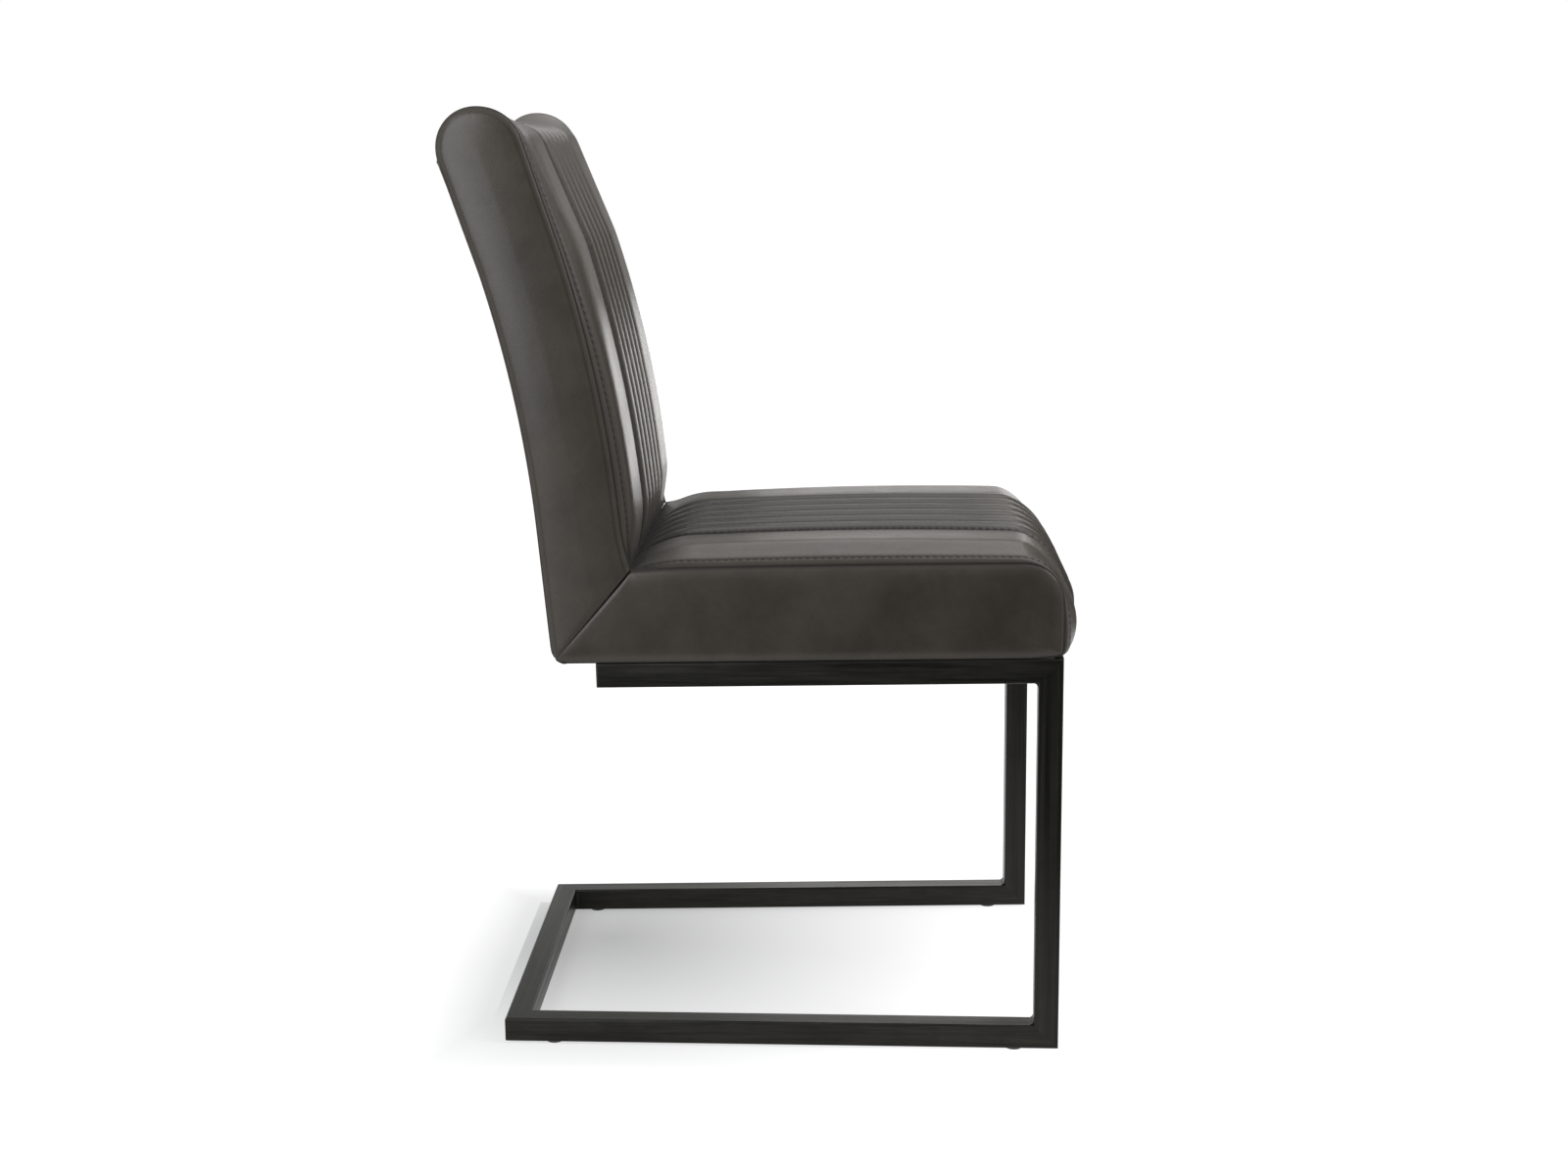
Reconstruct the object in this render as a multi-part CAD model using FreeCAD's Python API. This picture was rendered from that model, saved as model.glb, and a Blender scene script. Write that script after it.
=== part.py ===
import FreeCAD
import Part
import math
import os

Vector = FreeCAD.Vector

# Cantilever dining chair: a bent-looking square tube frame, welded from straight mitred tubes,
# that carries an upholstered seat and back with stitched channels.
# Millimetres, +Z up. The chair faces -Y. Right and left are the sitter's own. Every piece is
# worked out with the floor at z = 0 and the front faces of the legs at y = 0. At the end the
# whole chair moves along Y, so that its origin is on the floor under its middle.

# Frame
frame_width_front = 460.0
frame_width_rear = 424.0
frame_depth = 570.0
tube_size = 25.0
tube_wall = 2.0
tube_corner_radius = 2.0
seat_rail_height = 412.0
seat_rail_slope = 0.85
seat_rail_length = 464.0
cross_bar_front_y = 62.0
cross_bar_rear_y = 405.0
weld_leg = 4.5
weld_hollow = 0.3

# Glides under the floor rails
glide_height = 2.5
glide_radius = 9.0
glide_stem_radius = 3.0
glide_stem_length = 9.0
glide_front_inset = 45.0
glide_rear_inset = 50.0

# Plugs in the open rear ends of the seat rails
plug_plate = 1.5
plug_depth = 12.0

# Clearances
soft_gap = 0.3
fit_gap = 0.1

# Seat cushion; heights are measured from the top of the seat rails
seat_depth = 427.0
seat_seam_height = 97.0
seat_crease_height = 95.0
seat_crown = 17.2
seat_corner_radius = 37.0
seat_front_bow = 4.3
seat_crease_roll = 67.0
seat_top_bow = 0.6
seat_belly_height = 35.5
seat_tuck_height = 11.0
seat_hem_height = 1.2
seat_hem_inset = 6.0

# Back cushion
back_thickness = 79.0
back_lean_low = 4.9
back_lean_high = 16.8
back_bend_radius = 1237.0
back_bend_height = 45.0
back_top_straight = 114.0
back_crown = 16.0
back_top_dip = 9.0
back_crease_set_back = 15.0
back_corner_radius = 16.0

# Leather and quilting
leather = 2.0
quilt = 5.0
border_roll = 48.0
border_fullness = 0.6
channel_zone_half = 118.0
channel_count = 6
channel_depth = 3.5
side_dome = 3.0
side_dome_inset = 22.0

# Boards
seat_board_thickness = 12.0
seat_board_front = 10.0
dust_cover_thickness = 1.2
dust_cover_front = 8.0
back_board_thickness = 12.0
back_board_foot = 24.0
back_board_head = 25.0
board_side_inset = 6.0
mitre_clearance = 1.0

# Steel angle brackets between the two boards
bracket_width = 40.0
bracket_thickness = 5.0
bracket_reach = 165.0
bracket_rise = 112.0
bracket_spacing = 220.0
bracket_bend_radius = 3.0
bracket_screw_count = 3
bracket_screw_radius = 2.25
bracket_screw_head_radius = 4.6
bracket_screw_length = 15.5
bracket_screw_margin = 22.0

# Machine screws that hold the seat board to the cross bars
base_screw_radius = 3.0
base_screw_head_radius = 5.6
base_screw_head_height = 3.5
base_screw_spacing = 300.0
base_screw_end_gap = 1.0
socket_radius = 2.1
socket_depth = 2.0
washer_radius = 7.5
washer_thickness = 1.2
tee_nut_flange_radius = 9.5
tee_nut_flange = 1.5
tee_nut_barrel_radius = 4.2
tee_nut_length = 9.0

side_taper = (frame_width_front - frame_width_rear) / 2 / frame_depth
side_angle = math.atan(side_taper)
rail_slope = math.tan(math.radians(seat_rail_slope))
border_reference = frame_width_front / 2
lower_lean = math.radians(back_lean_low)
upper_lean = math.radians(back_lean_high)


# Shared geometry

def side_half_width(y):
    return frame_width_front / 2 - side_taper * y


def rail_top(y):
    return seat_rail_height - rail_slope * y


def keep_side(shape, point, towards):
    """The part of the shape on one side of the plane through point, on the side of towards."""
    reach = 2000.0
    block = Part.makeBox(2 * reach, 2 * reach, reach, Vector(-reach, -reach, 0))
    block.Placement = FreeCAD.Placement(point, FreeCAD.Rotation(Vector(0, 0, 1), towards * -1))
    return shape.cut(block)


# Frame tubes, made for the right side and mirrored to the left

along_side = Vector(math.sin(side_angle), math.cos(side_angle), 0)
inward = Vector(math.cos(side_angle), -math.sin(side_angle), 0)
upward = Vector(0, 0, 1)
front_foot = Vector(-frame_width_front / 2, 0, glide_height)
front_head = Vector(-frame_width_front / 2, 0, seat_rail_height)
rear_foot = Vector(-frame_width_rear / 2, frame_depth, glide_height)
rail_direction = (along_side - upward * rail_slope).normalize()
rail_down = inward.cross(rail_direction) * -1
if rail_down.z > 0:
    rail_down = rail_down * -1
rail_end = front_head + rail_direction * seat_rail_length


def square_profile(corner, across, up):
    """A square tube's section with rounded outer corners, one corner at the given point."""
    r = tube_corner_radius
    t = tube_size
    k = r * (1 - math.sqrt(0.5))

    def at(a, b):
        return corner + across * a + up * b

    edges = [
        Part.makeLine(at(r, 0), at(t - r, 0)),
        Part.Arc(at(t - r, 0), at(t - k, k), at(t, r)).toShape(),
        Part.makeLine(at(t, r), at(t, t - r)),
        Part.Arc(at(t, t - r), at(t - k, t - k), at(t - r, t)).toShape(),
        Part.makeLine(at(t - r, t), at(r, t)),
        Part.Arc(at(r, t), at(k, t - k), at(0, t - r)).toShape(),
        Part.makeLine(at(0, t - r), at(0, r)),
        Part.Arc(at(0, r), at(k, k), at(r, 0)).toShape(),
    ]
    w = tube_wall
    hole = Part.makePolygon([at(w, w), at(t - w, w), at(t - w, t - w), at(w, t - w), at(w, w)])
    return Part.Face(Part.Wire(edges)).cut(Part.Face(hole)).Faces[0]


def tube(start, direction, length, across, up):
    """A square tube along a line, run past both ends so that the end cuts can trim it."""
    spare = 2 * tube_size
    profile = square_profile(start - direction * spare, across, up)
    return profile.extrude(direction * (length + 2 * spare))


def mitre(shape, corner, own, other):
    """Cuts a tube at the plane that halves the angle between its own run and the other tube's."""
    return keep_side(shape, corner, (own - other).normalize())


def front_leg():
    leg = tube(front_foot, upward, front_head.z - front_foot.z, inward, along_side)
    leg = mitre(leg, front_foot, upward, along_side)
    return mitre(leg, front_head, upward * -1, rail_direction)


def glide_places():
    """Centres of the right side's glides on the floor."""
    rail_length = (rear_foot - front_foot).Length
    middle = inward * (tube_size / 2)
    ground = Vector(front_foot.x, front_foot.y, 0)
    return [ground + middle + along_side * s for s in (glide_front_inset, rail_length - glide_rear_inset)]


def floor_rail():
    length = (rear_foot - front_foot).Length
    rail = tube(front_foot, along_side, length, inward, upward)
    rail = mitre(rail, front_foot, along_side, upward)
    rail = mitre(rail, rear_foot, along_side * -1, Vector(1, 0, 0))
    for place in glide_places():
        hole = Part.makeCylinder(glide_stem_radius + fit_gap, 2 * tube_wall + glide_height, place)
        rail = rail.cut(hole)
    return rail


def seat_rail():
    rail = tube(front_head, rail_direction, seat_rail_length, inward, rail_down)
    rail = mitre(rail, front_head, rail_direction, upward * -1)
    return keep_side(rail, rail_end, rail_direction * -1)


def rear_floor_bar():
    bar = tube(rear_foot, Vector(1, 0, 0), frame_width_rear, Vector(0, -1, 0), upward)
    bar = mitre(bar, rear_foot, Vector(1, 0, 0), along_side * -1)
    other_foot = Vector(-rear_foot.x, rear_foot.y, rear_foot.z)
    other_along = Vector(-along_side.x, along_side.y, 0)
    return mitre(bar, other_foot, Vector(-1, 0, 0), other_along * -1)


def cross_bar_corner(centre_y):
    """Front top corner line of a cross bar, in the chair's middle plane."""
    y = centre_y - tube_size / 2
    return Vector(0, y, rail_top(y))


def cross_bar(centre_y):
    """A tube between the seat rails, flush with their tops, drilled for the base screws."""
    slope_line = Vector(0, 1, -rail_slope).normalize()
    down = Vector(0, -rail_slope, -1).normalize()
    half = frame_width_front / 2
    start = cross_bar_corner(centre_y) + Vector(-half, 0, 0)
    bar = tube(start, Vector(1, 0, 0), 2 * half, slope_line, down)
    bar = keep_side(bar, front_foot + inward * tube_size, inward)
    other_inward = Vector(-inward.x, inward.y, 0)
    other_foot = Vector(-front_foot.x, front_foot.y, front_foot.z)
    bar = keep_side(bar, other_foot + other_inward * tube_size, other_inward)
    for axis in base_screw_axes(centre_y):
        low = axis - screw_up * (2 * tube_size)
        bar = bar.cut(Part.makeCylinder(base_screw_radius + 5 * fit_gap, 3 * tube_size, low, screw_up))
    return bar


# Base screws stand square to the sloping seat rails

screw_up = Vector(0, rail_slope, 1).normalize()


def base_screw_axes(centre_y):
    """Points on the cross bar's top face where its two base screws pass."""
    y = centre_y
    return [Vector(side * base_screw_spacing / 2, y, rail_top(y)) for side in (-1, 1)]


def all_base_screw_axes():
    return base_screw_axes(cross_bar_front_y) + base_screw_axes(cross_bar_rear_y)


def base_screw(top):
    """A button head screw with a hexagon socket, from under the cross bar into its tee nut."""
    under_bar = top - screw_up * (tube_size + washer_thickness)
    board_top = dust_cover_thickness + seat_board_thickness
    length = tube_size + washer_thickness + board_top - tee_nut_flange - base_screw_end_gap
    shank = Part.makeCylinder(base_screw_radius, length, under_bar, screw_up)
    head_low = under_bar - screw_up * base_screw_head_height
    head = Part.makeCone(base_screw_head_radius * 0.7, base_screw_head_radius,
                         base_screw_head_height, head_low, screw_up)
    corners = []
    for i in range(7):
        turn = math.radians(60 * i)
        side = Vector(1, 0, 0) * math.cos(turn) + Vector(0, 1, -rail_slope).normalize() * math.sin(turn)
        corners.append(head_low + side * socket_radius)
    socket = Part.Face(Part.makePolygon(corners)).extrude(screw_up * socket_depth)
    return shank.fuse(head).cut(socket).removeSplitter()


def base_washer(top):
    low = top - screw_up * (tube_size + washer_thickness)
    ring = Part.makeCylinder(washer_radius, washer_thickness, low, screw_up)
    return ring.cut(Part.makeCylinder(base_screw_radius + 2 * fit_gap, washer_thickness, low, screw_up))


def tee_nut(top):
    """A flange let into the board's top face, with a threaded barrel below it."""
    board_top = top + screw_up * (dust_cover_thickness + seat_board_thickness)
    flange = Part.makeCylinder(tee_nut_flange_radius, tee_nut_flange,
                               board_top - screw_up * tee_nut_flange, screw_up)
    barrel = Part.makeCylinder(tee_nut_barrel_radius, tee_nut_length,
                               board_top - screw_up * tee_nut_length, screw_up)
    bore = Part.makeCylinder(base_screw_radius + fit_gap, tee_nut_length,
                             board_top - screw_up * tee_nut_length, screw_up)
    return flange.fuse(barrel).cut(bore).removeSplitter()


def floor_glide(place):
    """A round plastic foot with a stem pushed into the floor rail."""
    disc = Part.makeCylinder(glide_radius, glide_height, place)
    stem = Part.makeCylinder(glide_stem_radius, glide_height + glide_stem_length, place)
    return disc.fuse(stem).removeSplitter()


def rail_end_plug():
    """A plastic plug: a plate over the tube's end and a block inside it."""
    inner = tube_size - 2 * (tube_wall + fit_gap)
    start = tube_wall + fit_gap
    plate_wire = square_profile(rail_end, inward, rail_down).OuterWire
    plate = Part.Face(plate_wire).extrude(rail_direction * plug_plate)
    corner = rail_end + (inward + rail_down) * start - rail_direction * plug_depth
    steps = [Vector(0, 0, 0), inward * inner, (inward + rail_down) * inner, rail_down * inner, Vector(0, 0, 0)]
    block = Part.Face(Part.makePolygon([corner + s for s in steps])).extrude(rail_direction * plug_depth)
    return plate.fuse(block).removeSplitter()


def weld_bead(corner, first, second, across):
    """A hollow-faced triangular bead in the inner corner of two tubes, run across their width."""
    margin = 1.5 * tube_corner_radius
    start = corner + across * margin
    a = start + first * weld_leg
    b = start + second * weld_leg
    middle = start + (first + second) * (weld_leg * (0.5 - weld_hollow / 2))
    edges = [Part.makeLine(start, a), Part.Arc(a, middle, b).toShape(), Part.makeLine(b, start)]
    return Part.Face(Part.Wire(edges)).extrude(across * (tube_size - 2 * margin))


def right_weld_beads():
    """Beads at the leg's two corners, at the rear floor corner and beside both cross bars."""
    floor_corner = front_foot + (along_side + upward) * tube_size
    beads = [weld_bead(floor_corner, along_side, upward, inward)]
    to_leg_back = tube_size - (rail_down * tube_size).dot(along_side)
    run = to_leg_back / rail_direction.dot(along_side)
    head_corner = front_head + rail_down * tube_size + rail_direction * run
    beads.append(weld_bead(head_corner, rail_direction, upward * -1, inward))
    inner_line = front_foot + inward * tube_size
    run = (frame_depth - tube_size - inner_line.y) / along_side.y
    rear_corner_line = inner_line + along_side * run
    beads.append(weld_bead(rear_corner_line, Vector(1, 0, 0), along_side * -1, upward))
    slope_line = Vector(0, 1, -rail_slope).normalize()
    for centre_y in (cross_bar_front_y, cross_bar_rear_y):
        front_line = cross_bar_corner(centre_y)
        for offset, direction in ((0.0, -1), (tube_size, 1)):
            edge = front_line + slope_line * offset
            run = (edge.y - inner_line.y) / along_side.y
            on_rail = Vector((inner_line + along_side * run).x, edge.y, edge.z)
            beads.append(weld_bead(on_rail, Vector(1, 0, 0), rail_direction * direction, rail_down))
    return beads


def mirrored(shape):
    return shape.mirror(Vector(0, 0, 0), Vector(1, 0, 0))


def both_sides(solids):
    return Part.makeCompound(solids + [mirrored(s) for s in solids])


# Cushion outlines: each node has a place at the boxing seam, a direction out of the cushion,
# and how far the crown, the channels and the other shapes reach there

class Node:
    def __init__(self, y, z, out_y, out_z, crown=0.0, groove=0.0, bow=0.0, dip=0.0, quilted=1.0, via=False):
        self.y = y
        self.z = z
        self.out_y = out_y
        self.out_z = out_z
        self.crown = crown
        self.groove = groove
        self.bow = bow
        self.dip = dip
        self.quilted = quilted
        self.via = via


def crown_share(s):
    """0 at the boxing seam, rising to 1 where the border's roll is full."""
    from_seam = (1 - abs(s)) * border_reference
    return min(1.0, from_seam / border_roll) ** border_fullness


def middle_share(s):
    """1 in the chair's middle plane, falling to 0 where the border's roll is full."""
    crest = 1 - border_roll / border_reference
    return max(0.0, 1 - (s / crest) ** 2)


def node_point(node, s, groove, inset):
    """The node's place at station s, where x is s times the half width at that depth."""
    crown = crown_share(s)
    out = node.crown * crown - node.groove * groove - inset
    if inset > 0:
        out -= (quilt - leather) * crown * node.quilted
    y = node.y + node.out_y * out - node.bow * middle_share(s)
    z = node.z + node.out_z * out - node.dip * (1 - s * s)
    return Vector(s * side_half_width(y), y, z)


def path_edges(nodes, s, groove, inset):
    """Arcs through the via nodes and lines between the others."""
    points = [node_point(n, s, groove, inset) for n in nodes]
    edges = []
    i = 0
    while i < len(nodes) - 1:
        if nodes[i + 1].via:
            edges.append(Part.Arc(points[i], points[i + 1], points[i + 2]).toShape())
            i += 2
        else:
            edges.append(Part.makeLine(points[i], points[i + 1]))
            i += 1
    return edges, points


def plane_point(s, y, z):
    return Vector(s * side_half_width(y), y, z)


def closed_wire(edges, last, corners):
    """Closes a path with straight lines through the given corners."""
    first = edges[0].valueAt(edges[0].FirstParameter)
    line = [last] + corners + [first]
    for a, b in zip(line, line[1:]):
        edges.append(Part.makeLine(a, b))
    return Part.Wire(edges)


def border_stations():
    """Stations from just inside the side covers to the full roll of the border."""
    start = 1 - (leather + soft_gap) / side_half_width(frame_depth + back_thickness)
    return [start] + [1 - share * border_roll / border_reference for share in (0.12, 0.3, 0.6, 1.0)]


def channel_stations():
    """Stations across the channels with the groove depth at each."""
    half = channel_zone_half / border_reference
    step = 2 * half / channel_count
    shape = ((0.0, channel_depth), (0.22, 0.25 * channel_depth), (0.5, 0.0), (0.78, 0.25 * channel_depth))
    stations = []
    for i in range(channel_count):
        for share, depth in shape:
            stations.append((-half + (i + share) * step, depth))
    stations.append((half, channel_depth))
    return stations


def cover_stations():
    border = [1.0] + border_stations()
    before = [(-s, 0.0) for s in border]
    after = [(s, 0.0) for s in reversed(border)]
    lead = 12.0 / border_reference
    half = channel_zone_half / border_reference + lead
    return before + [(-half, 0.1 * channel_depth)] + channel_stations() + [(half, 0.1 * channel_depth)] + after


def foam_stations():
    """The border's stations inside the side covers, and one at each groove."""
    border = border_stations()
    grooves = [s for s, depth in channel_stations() if depth == channel_depth]
    return [-s for s in border] + grooves + [s for s in reversed(border)]


# The crease line where seat and back meet, and the mitre seam that runs down from it

crease_z = rail_top(seat_depth) + seat_crease_height


def back_centre():
    """Centre of the back's bend: the back face is an arc about it."""
    front_y = seat_depth + back_crease_set_back
    front_z = crease_z + back_bend_height
    reach = back_bend_radius + back_thickness
    return front_y + reach * math.cos(lower_lean), front_z - reach * math.sin(lower_lean)


def back_point(lean, inside):
    """A point of the bend, inside millimetres in front of the rear face."""
    y, z = back_centre()
    reach = back_bend_radius + inside
    return y - reach * math.cos(lean), z + reach * math.sin(lean)


def back_low_point(height, inside):
    """A point of the back's lower straight at a height."""
    y, z = back_point(lower_lean, inside)
    return y - (z - height) * math.tan(lower_lean), height


def back_high_point(length, inside):
    """A point of the back's upper straight, a length above the bend."""
    y, z = back_point(upper_lean, inside)
    return y + length * math.sin(upper_lean), z + length * math.cos(upper_lean)


def rear_corner():
    """End of the rear face, middle and end of the rounded bottom corner."""
    y, _ = back_low_point(rail_top(seat_depth) + back_corner_radius, 0)
    floor = rail_top(y)
    r = back_corner_radius
    top = back_low_point(floor + r, 0)
    middle = (top[0] - r * (1 - math.sqrt(0.5)), floor + r * (1 - math.sqrt(0.5)))
    end = (top[0] - r, rail_top(top[0] - r))
    return top, middle, end


def mitre_y(z, behind=0.0):
    """Depth of the mitre plane between seat and back at a height, or of a plane behind it."""
    foot = rear_corner()[1]
    slope = (foot[0] - seat_depth) / (crease_z - foot[1])
    return seat_depth + (crease_z - z) * slope + behind * math.hypot(1, slope)


def mitre_crossing(inside, behind):
    """Height where a line in front of the back's rear face meets a plane behind the mitre."""
    low, high = rail_top(seat_depth), 2 * crease_z
    for _ in range(60):
        z = (low + high) / 2
        if back_low_point(z, inside)[0] > mitre_y(z, behind):
            high = z
        else:
            low = z
    return high


def seat_nodes(shift=0.0):
    """Outer line of the seat at the boxing seam, from the crease over the front to the hem."""
    r = seat_corner_radius
    half = math.sqrt(0.5)
    corner_y = r + 0.5
    roll_y = seat_depth - seat_crease_roll
    middle_y = (roll_y + corner_y) / 2
    low = seat_seam_height - r
    tuck_y = 0.28 * seat_hem_inset
    tuck_z = seat_hem_height + 0.24 * (seat_tuck_height - seat_hem_height)
    bow = seat_front_bow
    crease_out = 2.0

    def place(y, height):
        return y, rail_top(y) + height

    return [
        Node(seat_depth - shift, crease_z, -0.65 * crease_out, 0.76 * crease_out, quilted=0.4),
        Node(*place(seat_depth - 0.35 * seat_crease_roll, seat_seam_height - 0.7), 0, 1,
             0.56 * seat_crown, 0.6, via=True),
        Node(*place(roll_y, seat_seam_height), 0, 1, 0.89 * seat_crown, 1),
        Node(*place(middle_y, seat_seam_height + seat_top_bow), 0, 1, seat_crown, 1, via=True),
        Node(*place(corner_y, seat_seam_height), 0, 1, 0.55 * seat_crown, 1),
        Node(*place(corner_y - r * half, low + r * half), -half, half, 0.09 * seat_crown, 1, bow, via=True),
        Node(*place(0, low), -1, 0, 0.36 * seat_crown, 1, bow),
        Node(*place(-seat_top_bow, seat_belly_height), -1, 0, 0.93 * seat_crown, 0.8, bow, via=True),
        Node(*place(0, seat_tuck_height), -1, 0, 0.86 * seat_crown, 0.5, 0.8 * bow),
        Node(*place(tuck_y, tuck_z), -0.8, -0.15, 0.81 * seat_crown, 0.2, 0.6 * bow, via=True),
        Node(*place(seat_hem_inset, seat_hem_height), 0, -1),
    ]


def top_point(turn):
    """A point of the back's round top; turn 0 is its front, 180 its rear, in degrees."""
    r = back_thickness / 2
    cy, cz = back_high_point(back_top_straight, r)
    angle = math.radians(turn) + upper_lean
    out = (-math.cos(angle), math.sin(angle))
    return (cy + r * out[0], cz + r * out[1]), out


def back_nodes(shift=0.0):
    """Outer line of the back at the boxing seam, from the crease up and over to the rear seam."""
    crease_out = 1.2
    middle_lean = (lower_lean + upper_lean) / 2
    nodes = [
        Node(seat_depth + shift, crease_z, -0.65 * crease_out, 0.76 * crease_out, quilted=0.4),
        Node(seat_depth + 0.6 * back_crease_set_back, crease_z + 0.48 * back_bend_height, -0.93, 0.37,
             0.6 * back_crown, 0.6, via=True),
    ]
    for lean, via in ((lower_lean, False), (middle_lean, True), (upper_lean, False)):
        y, z = back_point(lean, back_thickness)
        nodes.append(Node(y, z, -math.cos(lean), math.sin(lean), back_crown, 1, via=via))
    top = ((0, 0.72, 0.7, 0.0, 1, False), (35, 0.35, 0.3, 0.5, 0.6, True), (70, 0.05, 0, 1.0, 0.2, False),
           (125, 0, 0, 1.0, 0, True), (180, 0, 0, 0.7, 0, False))
    for turn, crown, groove, dip, quilted, via in top:
        (y, z), out = top_point(turn)
        nodes.append(Node(y, z, out[0], out[1], crown * back_crown, groove,
                          dip=dip * back_top_dip, quilted=quilted, via=via))
    return nodes


def rear_nodes():
    """Rear face from the top seam down and round the bottom corner."""
    middle_lean = (lower_lean + upper_lean) / 2
    seam, out = top_point(180)
    start = (seam[0] - soft_gap * math.sin(upper_lean), seam[1] - soft_gap * math.cos(upper_lean))
    nodes = [Node(start[0], start[1], out[0], out[1], dip=0.7 * back_top_dip, quilted=0)]
    for lean, via in ((upper_lean, False), (middle_lean, True), (lower_lean, False)):
        y, z = back_point(lean, 0)
        nodes.append(Node(y, z, math.cos(lean), -math.sin(lean), quilted=0, via=via))
    top, middle, end = rear_corner()
    half = math.sqrt(0.5)
    nodes.append(Node(top[0], top[1], math.cos(lower_lean), -math.sin(lower_lean), quilted=0))
    nodes.append(Node(middle[0], middle[1], half, -half, quilted=0, via=True))
    nodes.append(Node(end[0], end[1], 0, -1, quilted=0))
    return nodes


# Upholstery covers

def strip_wire(nodes, s, groove):
    """Section of a cover: its outer line, and its smooth inner line a thickness inside."""
    outer, outer_points = path_edges(nodes, s, groove, 0.0)
    inner, inner_points = path_edges(nodes, s, 0.0, leather)
    edges = list(outer)
    edges.append(Part.makeLine(outer_points[-1], inner_points[-1]))
    edges.extend(reversed(inner))
    edges.append(Part.makeLine(inner_points[0], outer_points[0]))
    return Part.Wire(Part.__sortEdges__(edges))


def strip_cover(nodes, stations):
    wires = [strip_wire(nodes, s, depth) for s, depth in stations]
    return Part.makeLoft(wires, True, True)


def seat_top_cover():
    return strip_cover(seat_nodes(soft_gap / 2), cover_stations())


def back_front_cover():
    return strip_cover(back_nodes(soft_gap / 2), cover_stations())


def back_rear_cover():
    return strip_cover(rear_nodes(), [(0.25 * i, 0.0) for i in range(-4, 5)])


def panel_wire(nodes, corners, inset, offset):
    """A side cover's outline in the right side's plane, offset outwards from that plane."""
    edges, points = path_edges(nodes, -1.0, 0.0, inset)
    wire = closed_wire(edges, points[-1], [plane_point(-1.0, y, z) for y, z in corners])
    wire.translate(Vector(-offset, 0, 0))
    return wire


def domed_panel(flat, dome):
    """A side cover that swells a little beyond the side plane; each outline is nodes and corners."""
    inset = leather + soft_gap
    wires = [panel_wire(flat[0], flat[1], inset, offset) for offset in (-leather, 0.0)]
    wires.append(panel_wire(dome[0], dome[1], inset + side_dome_inset, side_dome))
    return Part.makeLoft(wires, True, True)


def seat_side_cover():
    foot_z = rear_corner()[1][1] + 2 * leather
    rear_y = rear_corner()[2][0]
    outlines = []
    for lift in (0.0, side_dome_inset):
        nodes = seat_nodes(soft_gap / 2)
        hem_y = nodes[-1].y + 2 * soft_gap
        if lift > 0:
            inset = leather + soft_gap + lift
            hem_y += inset
            nodes[0] = Node(seat_depth - leather, crease_z - leather, 0.22, 0.98)
            tuck = [Node(n.y + inset, n.z + 0.5 * lift, 0, 0, via=n.via) for n in nodes[-3:]]
            nodes[-3:] = tuck
        low = 0.4 + 0.5 * lift
        high = foot_z + 0.5 * lift
        corners = [(hem_y, rail_top(hem_y) + low), (rear_y - 1.5 * (leather + lift), rail_top(rear_y) + low),
                   (mitre_y(high, -2 * soft_gap - lift), high)]
        outlines.append((nodes, corners))
    return domed_panel(*outlines)


def back_side_cover():
    outlines = []
    for lift in (0.0, side_dome_inset):
        nodes = back_nodes(soft_gap / 2) + rear_nodes()[1:5]
        nodes[0] = Node(seat_depth + leather, crease_z, -1.14, 0.01, quilted=0)
        inset = leather + soft_gap + lift
        if lift > 0:
            corner_z = mitre_crossing(inset, inset)
            rear = back_low_point(corner_z, 0)
            nodes[-1] = Node(rear[0], corner_z, math.cos(lower_lean), -math.sin(lower_lean))
            foot = (mitre_y(corner_z + leather, inset) - leather, corner_z + leather)
        else:
            foot_z = rear_corner()[1][1] + 2 * leather
            foot = (mitre_y(foot_z, 2 * soft_gap), foot_z)
        outlines.append((nodes, [foot]))
    return domed_panel(*outlines)


# Boards, foam and the sheet under the seat

def between_sides(shape, inset):
    """Cuts a piece off at both sides, an inset inside the frame's outer side planes."""
    right = front_foot + inward * inset
    left = Vector(-right.x, right.y, right.z)
    shape = keep_side(shape, right, inward)
    return keep_side(shape, left, Vector(-inward.x, inward.y, 0))


def across_chair(face_edges, inset):
    """A section in the middle plane made into a piece that follows the taper of the sides."""
    wire = Part.Wire(Part.__sortEdges__(face_edges))
    wire.translate(Vector(-frame_width_front, 0, 0))
    solid = Part.Face(wire).extrude(Vector(2 * frame_width_front, 0, 0))
    return between_sides(solid, inset)


def flat_sided(corners, inset):
    points = [Vector(0, y, z) for y, z in corners]
    return across_chair(Part.makePolygon(points + [points[0]]).Edges, inset)


def seat_plane(y, height):
    return y, rail_top(y) + height


def seat_board_top():
    return dust_cover_thickness + seat_board_thickness


def seat_board():
    low = dust_cover_thickness
    high = seat_board_top()
    rear_low = rear_corner()[2][0] - soft_gap
    rear_high = mitre_y(rail_top(seat_depth) + high) - mitre_clearance - bracket_thickness
    corners = [seat_plane(seat_board_front, low), seat_plane(rear_low, low),
               seat_plane(rear_high, high), seat_plane(seat_board_front, high)]
    holes = []
    for top in all_base_screw_axes():
        face = top + screw_up * high
        holes.append(Part.makeCylinder(tee_nut_flange_radius + 2 * fit_gap, 2 * tee_nut_flange,
                                       face - screw_up * tee_nut_flange, screw_up))
        holes.append(Part.makeCylinder(tee_nut_barrel_radius + fit_gap, 2 * seat_board_thickness,
                                       face - screw_up * 1.5 * seat_board_thickness, screw_up))
    for point, inwards in bracket_seat_screws():
        holes.append(screw_hole(point, inwards))
        holes.append(mirrored(screw_hole(point, inwards)))
    board = flat_sided(corners, board_side_inset)
    for hole in holes:
        board = board.cut(hole)
    return board


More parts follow.
